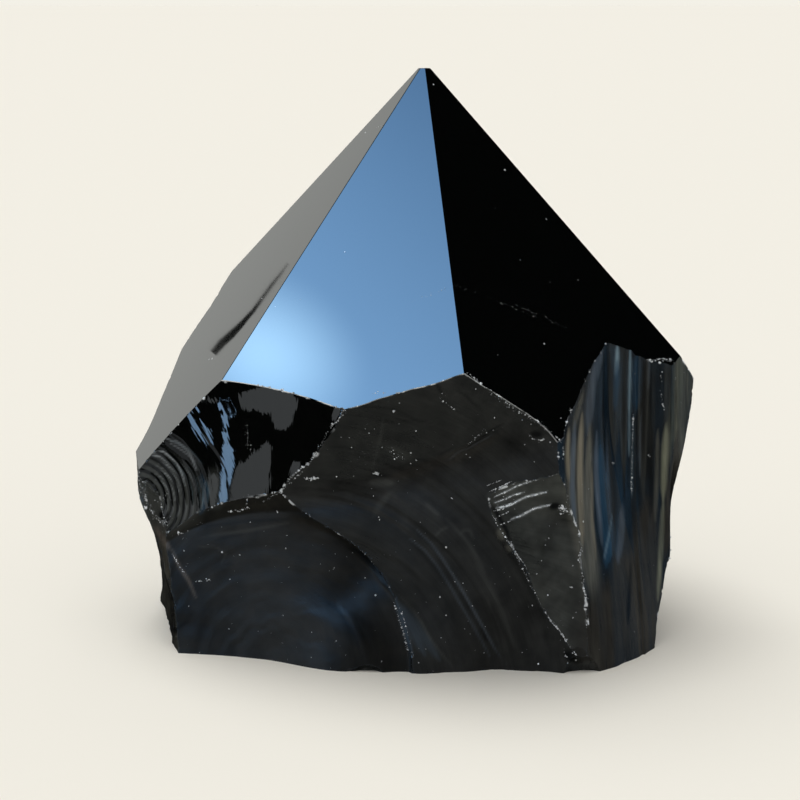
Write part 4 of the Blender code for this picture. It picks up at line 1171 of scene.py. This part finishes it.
def mark_surface(stone, ridge_reach, colours):
    """Store on each point how near it is to worn ridges and rims, how its scar broke, and its film with the
    painted shade, highlights and reflections of the strokes.
    """
    nowhere = -999.0
    mesh = stone.data
    bm = bmesh.new()
    bm.from_mesh(mesh)
    ridge_points, rim_points = mark_ridges(bm)
    mesh_points = [vert.co.copy() for vert in bm.verts]
    scar_of = np.array([max(face.material_index for face in vert.link_faces) for vert in bm.verts])
    front = np.array([vert.normal.y < FRONT_LIMIT for vert in bm.verts])
    bm.to_mesh(mesh)
    bm.free()
    store(mesh, "ridge", "FLOAT", "value", nearness(mesh_points, ridge_points, ridge_reach))
    store(mesh, "rim", "FLOAT", "value", nearness(mesh_points, rim_points, ridge_reach))

    places = np.array(mesh_points) / MM
    across_up = np.where(front[:, None], places[:, (0, 2)], nowhere)
    # Film attribute: film and colour, with painted shade, highlights and reflections from the strokes and
    # tints
    film = film_and_painted_light(mesh_points, across_up, scar_of, colours)
    store(mesh, "film", "FLOAT_VECTOR", "vector", film.ravel())
    for name, paths in PATCHES.items():
        inside = np.max([inside_path(across_up, path) for path in paths], axis=0)
        store(mesh, name, "FLOAT", "value", inside)
    grain, shell = grain_and_shell(places, scar_of)
    store(mesh, "grain", "FLOAT_VECTOR", "vector", grain.ravel())
    store(mesh, "shell", "FLOAT", "value", shell)


def sort_finishes(stone, materials):
    """Give the faces of each scar the material of its finish."""
    finish_of = [0] + [FINISHES.index(scar.finish) for scar in SCARS.values()] + [FINISHES.index("crushed")]
    indices = np.empty(len(stone.data.polygons), dtype=np.int32)
    stone.data.polygons.foreach_get("material_index", indices)
    stone.data.materials.clear()
    for finish in FINISHES:
        stone.data.materials.append(materials[finish])
    stone.data.polygons.foreach_set("material_index", np.array(finish_of)[indices])


# ---------------------------------------------------------------- materials


def shader_group(name, inputs, outputs):
    """Shader node group with named inputs (name, default) and named outputs."""
    tree = bpy.data.node_groups.new(name, "ShaderNodeTree")
    for label, default in inputs:
        socket = tree.interface.new_socket(label, in_out="INPUT", socket_type="NodeSocketFloat")
        socket.default_value = default
    for label in outputs:
        tree.interface.new_socket(label, in_out="OUTPUT", socket_type="NodeSocketFloat")
    return tree, tree.nodes.new("NodeGroupInput"), tree.nodes.new("NodeGroupOutput")


def new_material(name):
    """Material, its tree and its shader."""
    material = bpy.data.materials.new(name)
    material.use_nodes = True
    return material, material.node_tree, material.node_tree.nodes["Principled BSDF"]


def object_place(tree):
    return add(tree, "ShaderNodeTexCoord").outputs["Object"]


def attribute(tree, name, output):
    return add(tree, "ShaderNodeAttribute", {"attribute_name": name}).outputs[output]


def noise_texture(tree, vector, scale, detail=2.0, roughness=0.5):
    node = add(tree, "ShaderNodeTexNoise",
               Vector=vector, Scale=scale, Detail=detail, Roughness=roughness)
    return node.outputs[0]


def between(tree, value, low, high):
    """0 below low, 1 above high."""
    node = add(tree, "ShaderNodeMapRange", {"interpolation_type": "SMOOTHSTEP"}, i0=value, i1=low, i2=high)
    return node.outputs[0]


def grain_group():
    """Fine ribs and hackles that follow the way each scar broke."""
    tree, given, result = shader_group(
        "Fracture grain", (("Coarse", 0.7), ("Fine", 2.6)), ("Ribs", "Hackles"))
    way = attribute(tree, "grain", "Vector")
    ribs = noise_texture(tree, way, given.outputs["Coarse"], detail=3.0, roughness=0.6)
    hackles = noise_texture(tree, way, given.outputs["Fine"], detail=2.0)
    tree.links.new(ribs, result.inputs["Ribs"])
    tree.links.new(hackles, result.inputs["Hackles"])
    return tree


def shell_group():
    """Close round waves about the blow, strongest between an inner and an outer reach, in mm."""
    tree, given, result = shader_group(
        "Shell rings", (("Spacing", 1.3), ("Inner", 2.5), ("Outer", 13.0)), ("Rings",))
    warp_scale, warping, strength_scale, bare_reach, fading = 110.0, 1.6, 0.25, 1.0, (0.75, 1.15)
    reach = attribute(tree, "shell", "Fac")
    warp = noise_texture(tree, object_place(tree), warp_scale, detail=1.0)
    turns = maths(tree, "ADD", maths(tree, "DIVIDE", reach, given.outputs["Spacing"]),
                  maths(tree, "MULTIPLY", warp, warping))
    wave = maths(tree, "SINE", maths(tree, "MULTIPLY", turns, 2.0 * pi))
    strength = noise_texture(tree, attribute(tree, "grain", "Vector"), strength_scale, detail=1.0)
    start = between(tree, reach, bare_reach, given.outputs["Inner"])
    end = between(tree, maths(tree, "DIVIDE", reach, given.outputs["Outer"]), *fading)
    fade = maths(tree, "MULTIPLY", start, maths(tree, "SUBTRACT", 1.0, end))
    fade = maths(tree, "MULTIPLY", fade, maths(tree, "MULTIPLY_ADD", strength, 1.2, 0.2))
    tree.links.new(maths(tree, "MULTIPLY", wave, fade), result.inputs["Rings"])
    return tree


def wear_group():
    """Broken, crushed patches that hug the ridges, and a thin bright line along the polished rims, which is
    partly crushed glass and partly a painted highlight of the edge.
    """
    tree, given, result = shader_group("Ridge wear", (("Ridges", 0.5), ("Rims", 0.5)), ("Crushed",))
    dash_scale, patch_scale, gap_scale = 700.0, 110.0, 350.0
    near = attribute(tree, "ridge", "Fac")
    place = object_place(tree)
    dashes = between(tree, noise_texture(tree, place, dash_scale, detail=2.0), 0.5, 0.6)
    patches = between(tree, noise_texture(tree, place, patch_scale, detail=1.0), 0.46, 0.6)
    close = between(tree, near, 0.8, 0.93)
    ridges = maths(tree, "MULTIPLY", maths(tree, "MULTIPLY", dashes, patches), close)
    ridges = maths(tree, "MULTIPLY", ridges, given.outputs["Ridges"], clamp=True)
    # Rim line: crushed glass, and partly a painted highlight along the polished edge
    line = between(tree, attribute(tree, "rim", "Fac"), 0.87, 0.94)
    gaps = between(tree, noise_texture(tree, place, gap_scale, detail=2.0), 0.36, 0.48)
    rims = maths(tree, "MULTIPLY", maths(tree, "MULTIPLY", line, gaps), given.outputs["Rims"])
    tree.links.new(maths(tree, "MAXIMUM", ridges, rims), result.inputs["Crushed"])
    return tree


# How the patches lean from the bowl's own surface
LEANS = {"sky": (-0.195, 0.135, -0.113), "wall": (0.003, 0.033, 0.318)}


def lean_group():
    """Turns the patches between lances towards the sky or the wall; their edges end in a ragged comb."""
    tree, given, result = shader_group("Lance patches", (("Comb", 2.6),), ())
    tree.interface.new_socket("Normal", in_out="OUTPUT", socket_type="NodeSocketVector")
    comb_scale, patch_edge = 2.6, (-0.05, 0.1)
    comb = noise_texture(tree, attribute(tree, "grain", "Vector"), comb_scale, detail=2.0)
    ragged = maths(tree, "MULTIPLY", maths(tree, "SUBTRACT", comb, 0.5), given.outputs["Comb"])
    lean = None
    for name, turn in LEANS.items():
        inside = between(tree, maths(tree, "ADD", attribute(tree, name, "Fac"), ragged), *patch_edge)
        step = vector_maths(tree, "SCALE", turn, scale=inside)
        lean = step if lean is None else vector_maths(tree, "ADD", lean, step)
    lean = add(tree, "ShaderNodeVectorTransform",
               {"vector_type": "VECTOR", "convert_from": "OBJECT", "convert_to": "WORLD"}, i0=lean).outputs[0]
    whole = vector_maths(tree, "ADD", add(tree, "ShaderNodeNewGeometry").outputs["Normal"], lean)
    tree.links.new(vector_maths(tree, "NORMALIZE", whole), result.inputs["Normal"])
    return tree


def speck_group():
    """Sparse tiny bright specks of dust and pits."""
    tree, given, result = shader_group("Dust specks", (("Scale", 1500.0), ("Share", 0.02)), ("Specks",))
    cells = add(tree, "ShaderNodeTexVoronoi", Vector=object_place(tree), Scale=given.outputs["Scale"])
    parts = add(tree, "ShaderNodeSeparateColor", Color=cells.outputs["Color"])
    chosen = maths(tree, "LESS_THAN", parts.outputs[0], given.outputs["Share"])
    smallest, size_spread, dimmest, glint_spread = 0.08, 0.2, 0.3, 0.7
    size = maths(tree, "MULTIPLY_ADD", parts.outputs[1], size_spread, smallest)
    dot = maths(tree, "LESS_THAN", cells.outputs["Distance"], size)
    glint = maths(tree, "MULTIPLY_ADD", parts.outputs[2], glint_spread, dimmest)
    specks = maths(tree, "MULTIPLY", maths(tree, "MULTIPLY", chosen, dot), glint)
    tree.links.new(specks, result.inputs["Specks"])
    return tree


def film_group():
    """Large soft clouds of thin film and handling marks."""
    tree, given, result = shader_group("Surface film", (("Scale", 60.0), ("Contrast", 0.2)), ("Cloud",))
    cloud = noise_texture(tree, object_place(tree), given.outputs["Scale"], detail=4.0)
    low = maths(tree, "SUBTRACT", 0.5, given.outputs["Contrast"])
    high = maths(tree, "ADD", 0.5, given.outputs["Contrast"])
    tree.links.new(between(tree, cloud, low, high), result.inputs["Cloud"])
    return tree


# A finish: its roughness and how far that spreads, the height of its ribs, hackles, shell rings and pores
# in mm, whether it wears film and how streaky, how crushed its ridges and rims are (the rims' bright line
# is partly a painted highlight), its share of specks, whether its lances lean in patches, and how strongly
# it mirrors
Finish = namedtuple(
    "Finish", "roughness spread ribs hackles shells pores film streaks ridges rims specks leans shine")
FINISH_LOOKS = {
    "polished": Finish(0.01, 0.012, 0.0, 0.0, 0.0, 0.0, False, 0.0, 0.0, 0.0, 0.0015, False, 0.5),
    "bright": Finish(0.035, 0.02, 0.004, 0.0004, 0.02, 0.0, True, 0.5, 0.8, 1.0, 0.002, True, 0.5),
    "satin": Finish(0.26, 0.14, 0.05, 0.012, 0.0, 0.012, True, 1.2, 0.7, 0.35, 0.004, False, 0.5),
    "matt": Finish(0.36, 0.1, 0.03, 0.008, 0.0, 0.012, True, 1.0, 0.7, 0.35, 0.004, False, 0.3),
    "fluted": Finish(0.16, 0.1, 0.02, 0.006, 0.0, 0.0, True, 1.6, 0.7, 0.1, 0.003, False, 0.5),
    "crushed": Finish(0.2, 0.2, 0.05, 0.03, 0.0, 0.03, True, 1.0, 1.2, 1.0, 0.03, False, 0.5),
}


def grouped(tree, group, **values):
    node = tree.nodes.new("ShaderNodeGroup")
    node.node_tree = group
    for label, value in values.items():
        node.inputs[label].default_value = value
    return node.outputs


def mixed(tree, factor, a, b):
    node = add(tree, "ShaderNodeMix", {"data_type": "RGBA"})
    for value, place in ((factor, 0), (a, 6), (b, 7)):
        if isinstance(value, bpy.types.NodeSocket):
            tree.links.new(value, node.inputs[place])
        else:
            node.inputs[place].default_value = value
    return node.outputs[2]


def opaque(colour):
    return (colour[0], colour[1], colour[2], 1.0)


def film_colour(tree, finish, groups, colours, ribs, hackles, cloud):
    """The glass under its film, which is thicker in the clouds and streaked by ribs, hackles and rings. The
    film holds the strokes' painted light, and on the bright finish the ring stripes paint arcs of reflected
    light.
    """
    bare, cloudy, ring_share, ring_base = 0.7, 0.6, 0.9, 0.55
    thickness = maths(tree, "MULTIPLY_ADD", cloud, cloudy, bare - 0.5 * finish.streaks)
    thickness = maths(tree, "MULTIPLY_ADD", ribs, finish.streaks, thickness)
    centred = maths(tree, "SUBTRACT", hackles, 0.5)
    thickness = maths(tree, "MULTIPLY_ADD", centred, 0.5 * finish.streaks, thickness)
    # Ring stripes in the film: painted arcs of reflected light round the blow
    if finish.shells:
        stripes = grouped(tree, groups["shells"])[0]
        stripes = maths(tree, "MULTIPLY_ADD", stripes, ring_share, ring_base, clamp=True)
        thickness = maths(tree, "MULTIPLY", thickness, stripes)
    film = vector_maths(tree, "SCALE", attribute(tree, "film", "Vector"), scale=thickness)
    return vector_maths(tree, "ADD", film, colours.glass)


def fracture_height(tree, finish, groups, ribs, hackles, white):
    """Height of the fine relief, in mm: crushed spots, ribs, hackles, shell rings and pores."""
    spot_height, pore_scale = 0.04, 2200.0
    height = maths(tree, "MULTIPLY", white, spot_height)
    if finish.ribs:
        height = maths(tree, "MULTIPLY_ADD", ribs, finish.ribs, height)
        height = maths(tree, "MULTIPLY_ADD", hackles, finish.hackles, height)
    if finish.shells:
        height = maths(tree, "MULTIPLY_ADD", grouped(tree, groups["shells"])[0], finish.shells, height)
    if finish.pores:
        pores = noise_texture(tree, object_place(tree), pore_scale, detail=2.0)
        height = maths(tree, "MULTIPLY_ADD", pores, finish.pores, height)
    return height


def obsidian_material(name, finish, groups, colours):
    """Black glass with its film, crushed spots, uneven polish and fine relief, as the finish says."""
    white_roughness = 0.3
    material, tree, shader = new_material("obsidian_" + name)
    shader.inputs["IOR"].default_value = 1.5
    shader.inputs["Specular IOR Level"].default_value = finish.shine
    ribs, hackles = grouped(tree, groups["grain"])[:2]
    cloud = grouped(tree, groups["film"])[0]
    white = grouped(tree, groups["specks"], Share=finish.specks)[0]
    if finish.ridges:
        crushed = grouped(tree, groups["wear"], Ridges=finish.ridges, Rims=finish.rims)["Crushed"]
        white = maths(tree, "MAXIMUM", white, crushed)
    colour = opaque(colours.glass)
    if finish.film:
        colour = film_colour(tree, finish, groups, colours, ribs, hackles, cloud)
    colour = mixed(tree, white, colour, opaque(colours.crushed))
    tree.links.new(colour, shader.inputs["Base Color"])

    uneven = maths(tree, "MULTIPLY_ADD", cloud, finish.spread, finish.roughness)
    if finish.ribs:
        uneven = maths(tree, "MULTIPLY_ADD", maths(tree, "SUBTRACT", ribs, 0.5), finish.spread, uneven)
    uneven = maths(tree, "MULTIPLY_ADD", white, white_roughness, uneven, clamp=True)
    tree.links.new(uneven, shader.inputs["Roughness"])

    height = fracture_height(tree, finish, groups, ribs, hackles, white)
    raised = add(tree, "ShaderNodeBump", Height=height, Strength=1.0, Distance=MM)
    if finish.leans:
        tree.links.new(grouped(tree, groups["lean"])[0], raised.inputs["Normal"])
    tree.links.new(raised.outputs[0], shader.inputs["Normal"])
    return material


def crushed_glass(colours):
    """White crumbs of crushed glass."""
    dull, grain_scale, smoothest, spread = 0.5, 700.0, 0.1, 0.3
    material, tree, shader = new_material("crushed_glass")
    tone = noise_texture(tree, object_place(tree), grain_scale, detail=2.0)
    dark = opaque([dull * c for c in colours.crushed])
    colour = mixed(tree, between(tree, tone, 0.35, 0.65), dark, opaque(colours.crushed))
    tree.links.new(colour, shader.inputs["Base Color"])
    rough = maths(tree, "MULTIPLY_ADD", tone, spread, smoothest)
    tree.links.new(rough, shader.inputs["Roughness"])
    return material


# ---------------------------------------------------------------- flakes


def crumb_places(rng):
    """Places across and up, and sizes, of the crumbs along their runs and of the single specks."""
    fewest, scatter, crumb_sizes, speck_sizes = 3, 0.5, (0.45, 1.1), (0.4, 1.1)
    for run in CRUMBS:
        corners = np.array(run.path)
        lengths = np.hypot(*np.diff(corners, axis=0).T)
        stops = np.concatenate(([0.0], np.cumsum(lengths)))
        for _ in range(max(round(run.per_mm * stops[-1]), fewest)):
            along = rng.uniform(0.0, stops[-1])
            place = [np.interp(along, stops, corners[:, k]) for k in (0, 1)]
            shift = rng.normal(0.0, scatter * run.half_width, 2)
            yield place[0] + shift[0], place[1] + shift[1], run.size * rng.uniform(*crumb_sizes)
    for across, up in SPECKS:
        yield across, up, rng.uniform(*speck_sizes)


def ridge_flakes(bm, rng, share):
    """Middles of sharp, worn edges that carry a flake, and its size; flakes gather in clusters."""
    lowest, cluster_scale, alone, gathered, smallest, growth = 0.5, 180.0, 0.15, 3.0, 0.45, 0.55
    for edge in (edge for edge in bm.edges if not edge.smooth and not clean_edge(edge)):
        middle = 0.5 * (edge.verts[0].co + edge.verts[1].co)
        cluster = max(noise.noise(middle * cluster_scale), 0.0)
        if middle.z > lowest * MM and rng.random() < share * (alone + cluster * gathered):
            yield middle, smallest + growth * cluster


def flake_points(stone, seed, ridge_share, on_faces):
    """Loose points where flakes sit: along the ridges and runs, and scattered over the broken faces."""
    face_size, in_front = 0.55, -100.0
    rng = np.random.default_rng(seed)
    bm = bmesh.new()
    bm.from_mesh(stone.data)
    bm.verts.ensure_lookup_table()
    placed = list(ridge_flakes(bm, rng, ridge_share))
    shiny = ("polished", "bright")
    broken = [face for face in bm.faces if FINISHES[face.material_index] not in shiny]
    for i in rng.choice(len(broken), on_faces, replace=False):
        placed.append((broken[i].calc_center_median(), face_size))
    surface = BVHTree.FromBMesh(bm)
    for across, up, size in crumb_places(rng):
        hit = surface.ray_cast(Vector((across, in_front, up)) * MM, Vector((0.0, 1.0, 0.0)))[0]
        if hit is not None:
            placed.append((hit, size))
    bm.free()
    mesh = bpy.data.meshes.new("flake_points")
    mesh.from_pydata([place for place, _ in placed], [], [])
    sizes = [size for _, size in placed]
    mesh.attributes.new("weight", "FLOAT", "POINT").data.foreach_set("value", sizes)
    return link("flake_points", mesh)


# ---------------------------------------------------------------- operators


class OBSIDIAN_OT_stone(bpy.types.Operator):
    """Break the stone from its block, chip its ridges and give its faces their finishes"""
    bl_idname = "obsidian.stone"
    bl_label = "Stone"

    def execute(self, context):
        sizes, colours = context.scene.obsidian_sizes, context.scene.obsidian_colours
        stone = faceted_block(sizes.edge_flat / MM)
        stone.name = STONE
        cutters = [scar_cutter(name, scar, i) for i, (name, scar) in enumerate(SCARS.items(), start=1)]
        crushed = len(SCARS) + 1
        cutters += [chip_cutter(name, chip, crushed) for name, chip in CHIPS.items()]
        cut_all(stone, cutters)

        ridges = ridge_lines(stone)
        tree = chip_tree(bpy.data.materials.new("chip_marker"))
        values = {"Spacing": sizes.chip_spacing, "Largest": sizes.chip_size, "Seed": sizes.seed}
        chips = link("ridge_chips", run_tree(ridges, tree, values))
        chips.data.materials.clear()
        chips.data.polygons.foreach_set("material_index", [crushed] * len(chips.data.polygons))
        remove(ridges)
        cut_all(stone, [chips])

        mark_surface(stone, sizes.ridge_reach, colours)
        groups = {"grain": grain_group(), "shells": shell_group(), "wear": wear_group(),
                  "lean": lean_group(), "specks": speck_group(), "film": film_group()}
        materials = {
            name: obsidian_material(name, look, groups, colours) for name, look in FINISH_LOOKS.items()
        }
        sort_finishes(stone, materials)
        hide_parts(NODE)
        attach(stone, "root")
        return {"FINISHED"}


class OBSIDIAN_OT_flakes(bpy.types.Operator):
    """Lay crushed flakes along the stone's ridges and scratches"""
    bl_idname = "obsidian.flakes"
    bl_label = "Flakes"

    def execute(self, context):
        sizes, colours = context.scene.obsidian_sizes, context.scene.obsidian_colours
        stone = bpy.data.objects.get(STONE)
        if stone is None:
            raise RuntimeError("the flakes lie on the stone, so the stone is made first")
        points = flake_points(stone, sizes.seed, sizes.flake_share, sizes.face_flakes)
        mesh = run_tree(points, flake_tree(crushed_glass(colours)), {"Seed": sizes.seed})
        remove(points)
        flakes = link("crushed_flakes", mesh)
        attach(flakes, "root")
        return {"FINISHED"}


# A card: the direction it stands in, half its width and height as angles, its bottom and top colours, how
# strong it is at its left and right edges, and whether it is a soft round glow instead of a plain board
Card = namedtuple("Card", "azimuth elevation half_width half_height low high left right glow")


def board(azimuth, elevation, half_width, half_height, low, high=None, left=1.0, right=1.0, glow=False):
    return Card(azimuth, elevation, half_width, half_height, low, high or low, left, right, glow)


CARDS = {
    "sky_card": board(-146.0, 44.5, 9.0, 9.0, (5.4, 10.8, 18.5), (1.6, 3.6, 7.0), 1.0, 0.92),
    "sky_glow": board(-147.8, 40.2, 4.2, 3.2, (5.6, 8.6, 10.4), glow=True),
    "wall_card": board(121.0, 9.0, 17.0, 13.0, (0.95, 0.97, 0.93)),
    "bowl_blue": board(-171.0, -22.0, 5.6, 13.0, (2.05, 3.4, 5.2)),
    "bowl_grey": board(-149.0, 16.0, 9.0, 18.0, (0.86, 0.92, 0.95)),
    "ring_card": board(-134.5, -6.0, 3.5, 12.0, (0.4, 0.43, 0.45)),
    "ring_light": board(-136.0, 9.0, 6.0, 1.5, (5.6, 6.3, 6.7)),
    "room_card": board(-92.0, 6.0, 41.0, 20.0, (0.14, 0.145, 0.145), (0.14, 0.155, 0.165), 1.25, 0.9),
    "apron_card": board(-100.0, -60.0, 30.0, 18.0, (0.17, 0.18, 0.17)),
    "pillar_rim": board(28.0, -2.0, 8.0, 16.0, (0.15, 0.15, 0.14)),
    "pillar_navy": board(6.0, -1.0, 14.0, 16.0, (0.05, 0.1, 0.16)),
    "pillar_dark": board(-17.0, -1.0, 9.0, 16.0, (0.06, 0.06, 0.06)),
    "pillar_olive": board(-29.5, -1.0, 3.5, 16.0, (0.5, 0.5, 0.43)),
    "pillar_brown": board(-40.0, -1.0, 7.0, 16.0, (0.17, 0.16, 0.14)),
    "top_card": board(60.0, 78.0, 11.0, 11.0, (2.0, 2.1, 2.2)),
    "back_card": board(60.0, 40.0, 16.0, 14.0, (1.6, 1.7, 1.9), (0.8, 0.9, 1.0)),
}
CARD_DISTANCE = 2.0
GLOW_NEARNESS, STRIP_NEARNESS = 0.9, 0.99   # shares of that distance

# The dark strip in front of the wall card: shares of the card across and up, and half width in mm
WALL_STRIP = (
    (0.4809, 0.5853, 0.5), (0.4871, 0.5727, 1.1), (0.4953, 0.5543, 1.8), (0.5032, 0.5382, 2.0),
    (0.5128, 0.519, 2.4), (0.5185, 0.5043, 3.0), (0.5221, 0.4953, 3.6), (0.527, 0.4809, 4.6),
    (0.5319, 0.4642, 4.8), (0.5382, 0.449, 4.1),
)
STRIP_TONE = (0.015, 0.017, 0.015)
MIRRORED_DARK, SOFT_FILL = (0.002, 0.002, 0.002), (0.45, 0.45, 0.455)


def card_frame(look, distance):
    """Middle of a card, its right and up directions, and half its width and height."""
    a, e = radians(look.azimuth), radians(look.elevation)
    out = Vector((cos(e) * cos(a), cos(e) * sin(a), sin(e)))
    right = Vector((-sin(a), cos(a), 0.0))
    half_x, half_y = (distance * tan(radians(angle)) for angle in (look.half_width, look.half_height))
    middle = out * distance + Vector((0.0, 0.0, 0.5 * STONE_HEIGHT * MM))
    return middle, right, out.cross(right), half_x, half_y


def light_material(name):
    """Material without its shader, and its tree."""
    material, tree, shader = new_material(name)
    tree.nodes.remove(shader)
    return material, tree


def only_mirrored(name, mesh, material, shine):
    """Card or strip whose light is seen by mirrors and highlights alone."""
    material.node_tree.links.new(shine, material.node_tree.nodes["Material Output"].inputs[0])
    mesh.materials.append(material)
    card = link(name, mesh)
    card.visible_camera = False
    card.visible_diffuse = False
    card.visible_shadow = False


def card_mesh(name, look):
    """Flat board that faces the stone, with its own UV map."""
    place, right, up, half_x, half_y = card_frame(look, CARD_DISTANCE * (GLOW_NEARNESS if look.glow else 1.0))
    corners = ((-1, -1), (1, -1), (1, 1), (-1, 1))
    mesh = bpy.data.meshes.new(name)
    mesh.from_pydata([place + right * half_x * x + up * half_y * y for x, y in corners], [], [(0, 1, 2, 3)])
    mesh.uv_layers.new(name="card").data.foreach_set("uv", [0, 0, 1, 0, 1, 1, 0, 1])
    return mesh


def light_card(name, look):
    """Light card with a soft gradient from its bottom to its top and from side to side, or a round glow."""
    material, tree = light_material(name)
    where = add(tree, "ShaderNodeUVMap", {"uv_map": "card"}).outputs[0]
    split = add(tree, "ShaderNodeSeparateXYZ", Vector=where)
    side = add(tree, "ShaderNodeMapRange", {"interpolation_type": "SMOOTHSTEP"},
               i0=split.outputs[0], i1=0.0, i2=1.0, i3=look.left, i4=look.right)
    colour = mixed(tree, split.outputs[1], opaque(look.low), opaque(look.high))
    strength = side.outputs[0]
    if look.glow:
        centred = vector_maths(tree, "SUBTRACT", where, (0.5, 0.5, 0.0))
        away = add(tree, "ShaderNodeVectorMath", {"operation": "LENGTH"}, i0=centred).outputs["Value"]
        strength = maths(tree, "SUBTRACT", 1.0, between(tree, away, 0.0, 0.5))
    shine = add(tree, "ShaderNodeEmission", Color=colour, Strength=strength).outputs[0]
    if look.glow:
        clear = add(tree, "ShaderNodeBsdfTransparent")
        both = tree.nodes.new("ShaderNodeAddShader")
        tree.links.new(shine, both.inputs[0])
        tree.links.new(clear.outputs[0], both.inputs[1])
        shine = both.outputs[0]
    only_mirrored(name, card_mesh(name, look), material, shine)


def dark_strip(name, path):
    """Thin dark strip in front of the wall card; its path is in shares of the card, half widths in mm."""
    place, right, up, half_x, half_y = card_frame(CARDS["wall_card"], STRIP_NEARNESS * CARD_DISTANCE)
    middles = [place + right * half_x * (2.0 * x - 1.0) + up * half_y * (2.0 * y - 1.0) for x, y, _ in path]
    points = []
    for i, (middle, (_, _, half_width)) in enumerate(zip(middles, path)):
        along = middles[min(i + 1, len(path) - 1)] - middles[max(i - 1, 0)]
        side = along.normalized().cross(right.cross(up)) * half_width * MM
        points += [middle - side, middle + side]
    mesh = bpy.data.meshes.new(name)
    mesh.from_pydata(points, [], [(2 * i, 2 * i + 1, 2 * i + 3, 2 * i + 2) for i in range(len(path) - 1)])
    material, tree = light_material(name)
    shine = add(tree, "ShaderNodeEmission", Color=opaque(STRIP_TONE))
    only_mirrored(name, mesh, material, shine.outputs[0])


def soft_sun(name, strength, softness, turn):
    """Wide soft light that mirrors do not see."""
    light = bpy.data.lights.new(name, "SUN")
    light.energy, light.angle = strength, softness
    lamp = link(name, light)
    lamp.rotation_euler = turn
    lamp.visible_glossy = False


def studio_world(colours):
    """Soft light for dull surfaces, near black for mirrors, and the floor's own tone for the camera."""
    world = bpy.data.worlds.new("studio")
    world.use_nodes = True
    tree = world.node_tree
    path = add(tree, "ShaderNodeLightPath")
    fill = mixed(tree, path.outputs["Is Diffuse Ray"], opaque(MIRRORED_DARK), opaque(SOFT_FILL))
    seen = mixed(tree, path.outputs["Is Camera Ray"], fill, opaque(colours.backdrop))
    tree.links.new(seen, tree.nodes["Background"].inputs[0])
    return world


def pale_floor(width, colour):
    """Square matt floor that mirrors do not see."""
    half = width / 2.0
    mesh = bpy.data.meshes.new("floor")
    corners = [(-half, -half, 0), (half, -half, 0), (half, half, 0), (-half, half, 0)]
    mesh.from_pydata(corners, [], [(0, 1, 2, 3)])
    floor = link("floor", mesh)
    material, _, shader = new_material("floor")
    shader.inputs["Base Color"].default_value = opaque(colour)
    shader.inputs["Roughness"].default_value = 0.9
    shader.inputs["Specular IOR Level"].default_value = 0.0
    mesh.materials.append(material)
    floor.visible_glossy = False


def level_camera(settings):
    """Camera on the front side, tilted down to its target."""
    camera = bpy.data.cameras.new("camera")
    camera.lens = settings.lens
    camera.sensor_width = 36.0
    camera.clip_start = 0.01
    view = link("camera", camera)
    tilt = settings.elevation
    back = Vector((0.0, -cos(tilt), sin(tilt))) * settings.distance
    view.location = Vector(settings.target) + back
    view.rotation_euler = (radians(90.0) - tilt, 0.0, 0.0)
    return view


class OBSIDIAN_OT_stage(bpy.types.Operator):
    """Set the pale floor, the light cards, the soft lights and the camera"""
    bl_idname = "obsidian.stage"
    bl_label = "Stage"

    def execute(self, context):
        scene, colours, settings = context.scene, context.scene.obsidian_colours, context.scene.obsidian_stage
        scene.view_settings.view_transform = "Standard"
        pale_floor(settings.floor_width, colours.floor)
        for name, look in CARDS.items():
            light_card(name, look)
        dark_strip("wall_strip", WALL_STRIP)
        soft_sun("key", settings.key_strength, settings.key_softness, settings.key_turn)
        soft_sun("top", settings.top_strength, settings.top_softness, (0.0, 0.0, 0.0))
        scene.world = studio_world(colours)
        scene.camera = level_camera(settings)
        return {"FINISHED"}


class OBSIDIAN_PT_panel(bpy.types.Panel):
    bl_label = "Obsidian Point"
    bl_idname = "OBSIDIAN_PT_panel"
    bl_space_type = "VIEW_3D"
    bl_region_type = "UI"
    bl_category = "Obsidian"

    def draw(self, context):
        layout, scene = self.layout, context.scene
        for settings in (scene.obsidian_sizes, scene.obsidian_colours, scene.obsidian_stage):
            box = layout.box()
            for name in settings.__annotations__:
                box.prop(settings, name)
        for operator in OPERATORS:
            layout.operator(operator.bl_idname)


OPERATORS = (OBSIDIAN_OT_stone, OBSIDIAN_OT_flakes, OBSIDIAN_OT_stage)
CLASSES = (ObsidianSizes, ObsidianColours, StageSettings, *OPERATORS, OBSIDIAN_PT_panel)


def register():
    for one in CLASSES:
        bpy.utils.register_class(one)
    bpy.types.Scene.obsidian_sizes = bpy.props.PointerProperty(type=ObsidianSizes)
    bpy.types.Scene.obsidian_colours = bpy.props.PointerProperty(type=ObsidianColours)
    bpy.types.Scene.obsidian_stage = bpy.props.PointerProperty(type=StageSettings)


def unregister():
    del bpy.types.Scene.obsidian_sizes
    del bpy.types.Scene.obsidian_colours
    del bpy.types.Scene.obsidian_stage
    for one in reversed(CLASSES):
        bpy.utils.unregister_class(one)


def main():
    register()
    bpy.ops.obsidian.stone()
    bpy.ops.obsidian.flakes()
    bpy.ops.obsidian.stage()


if __name__ == "__main__":
    main()
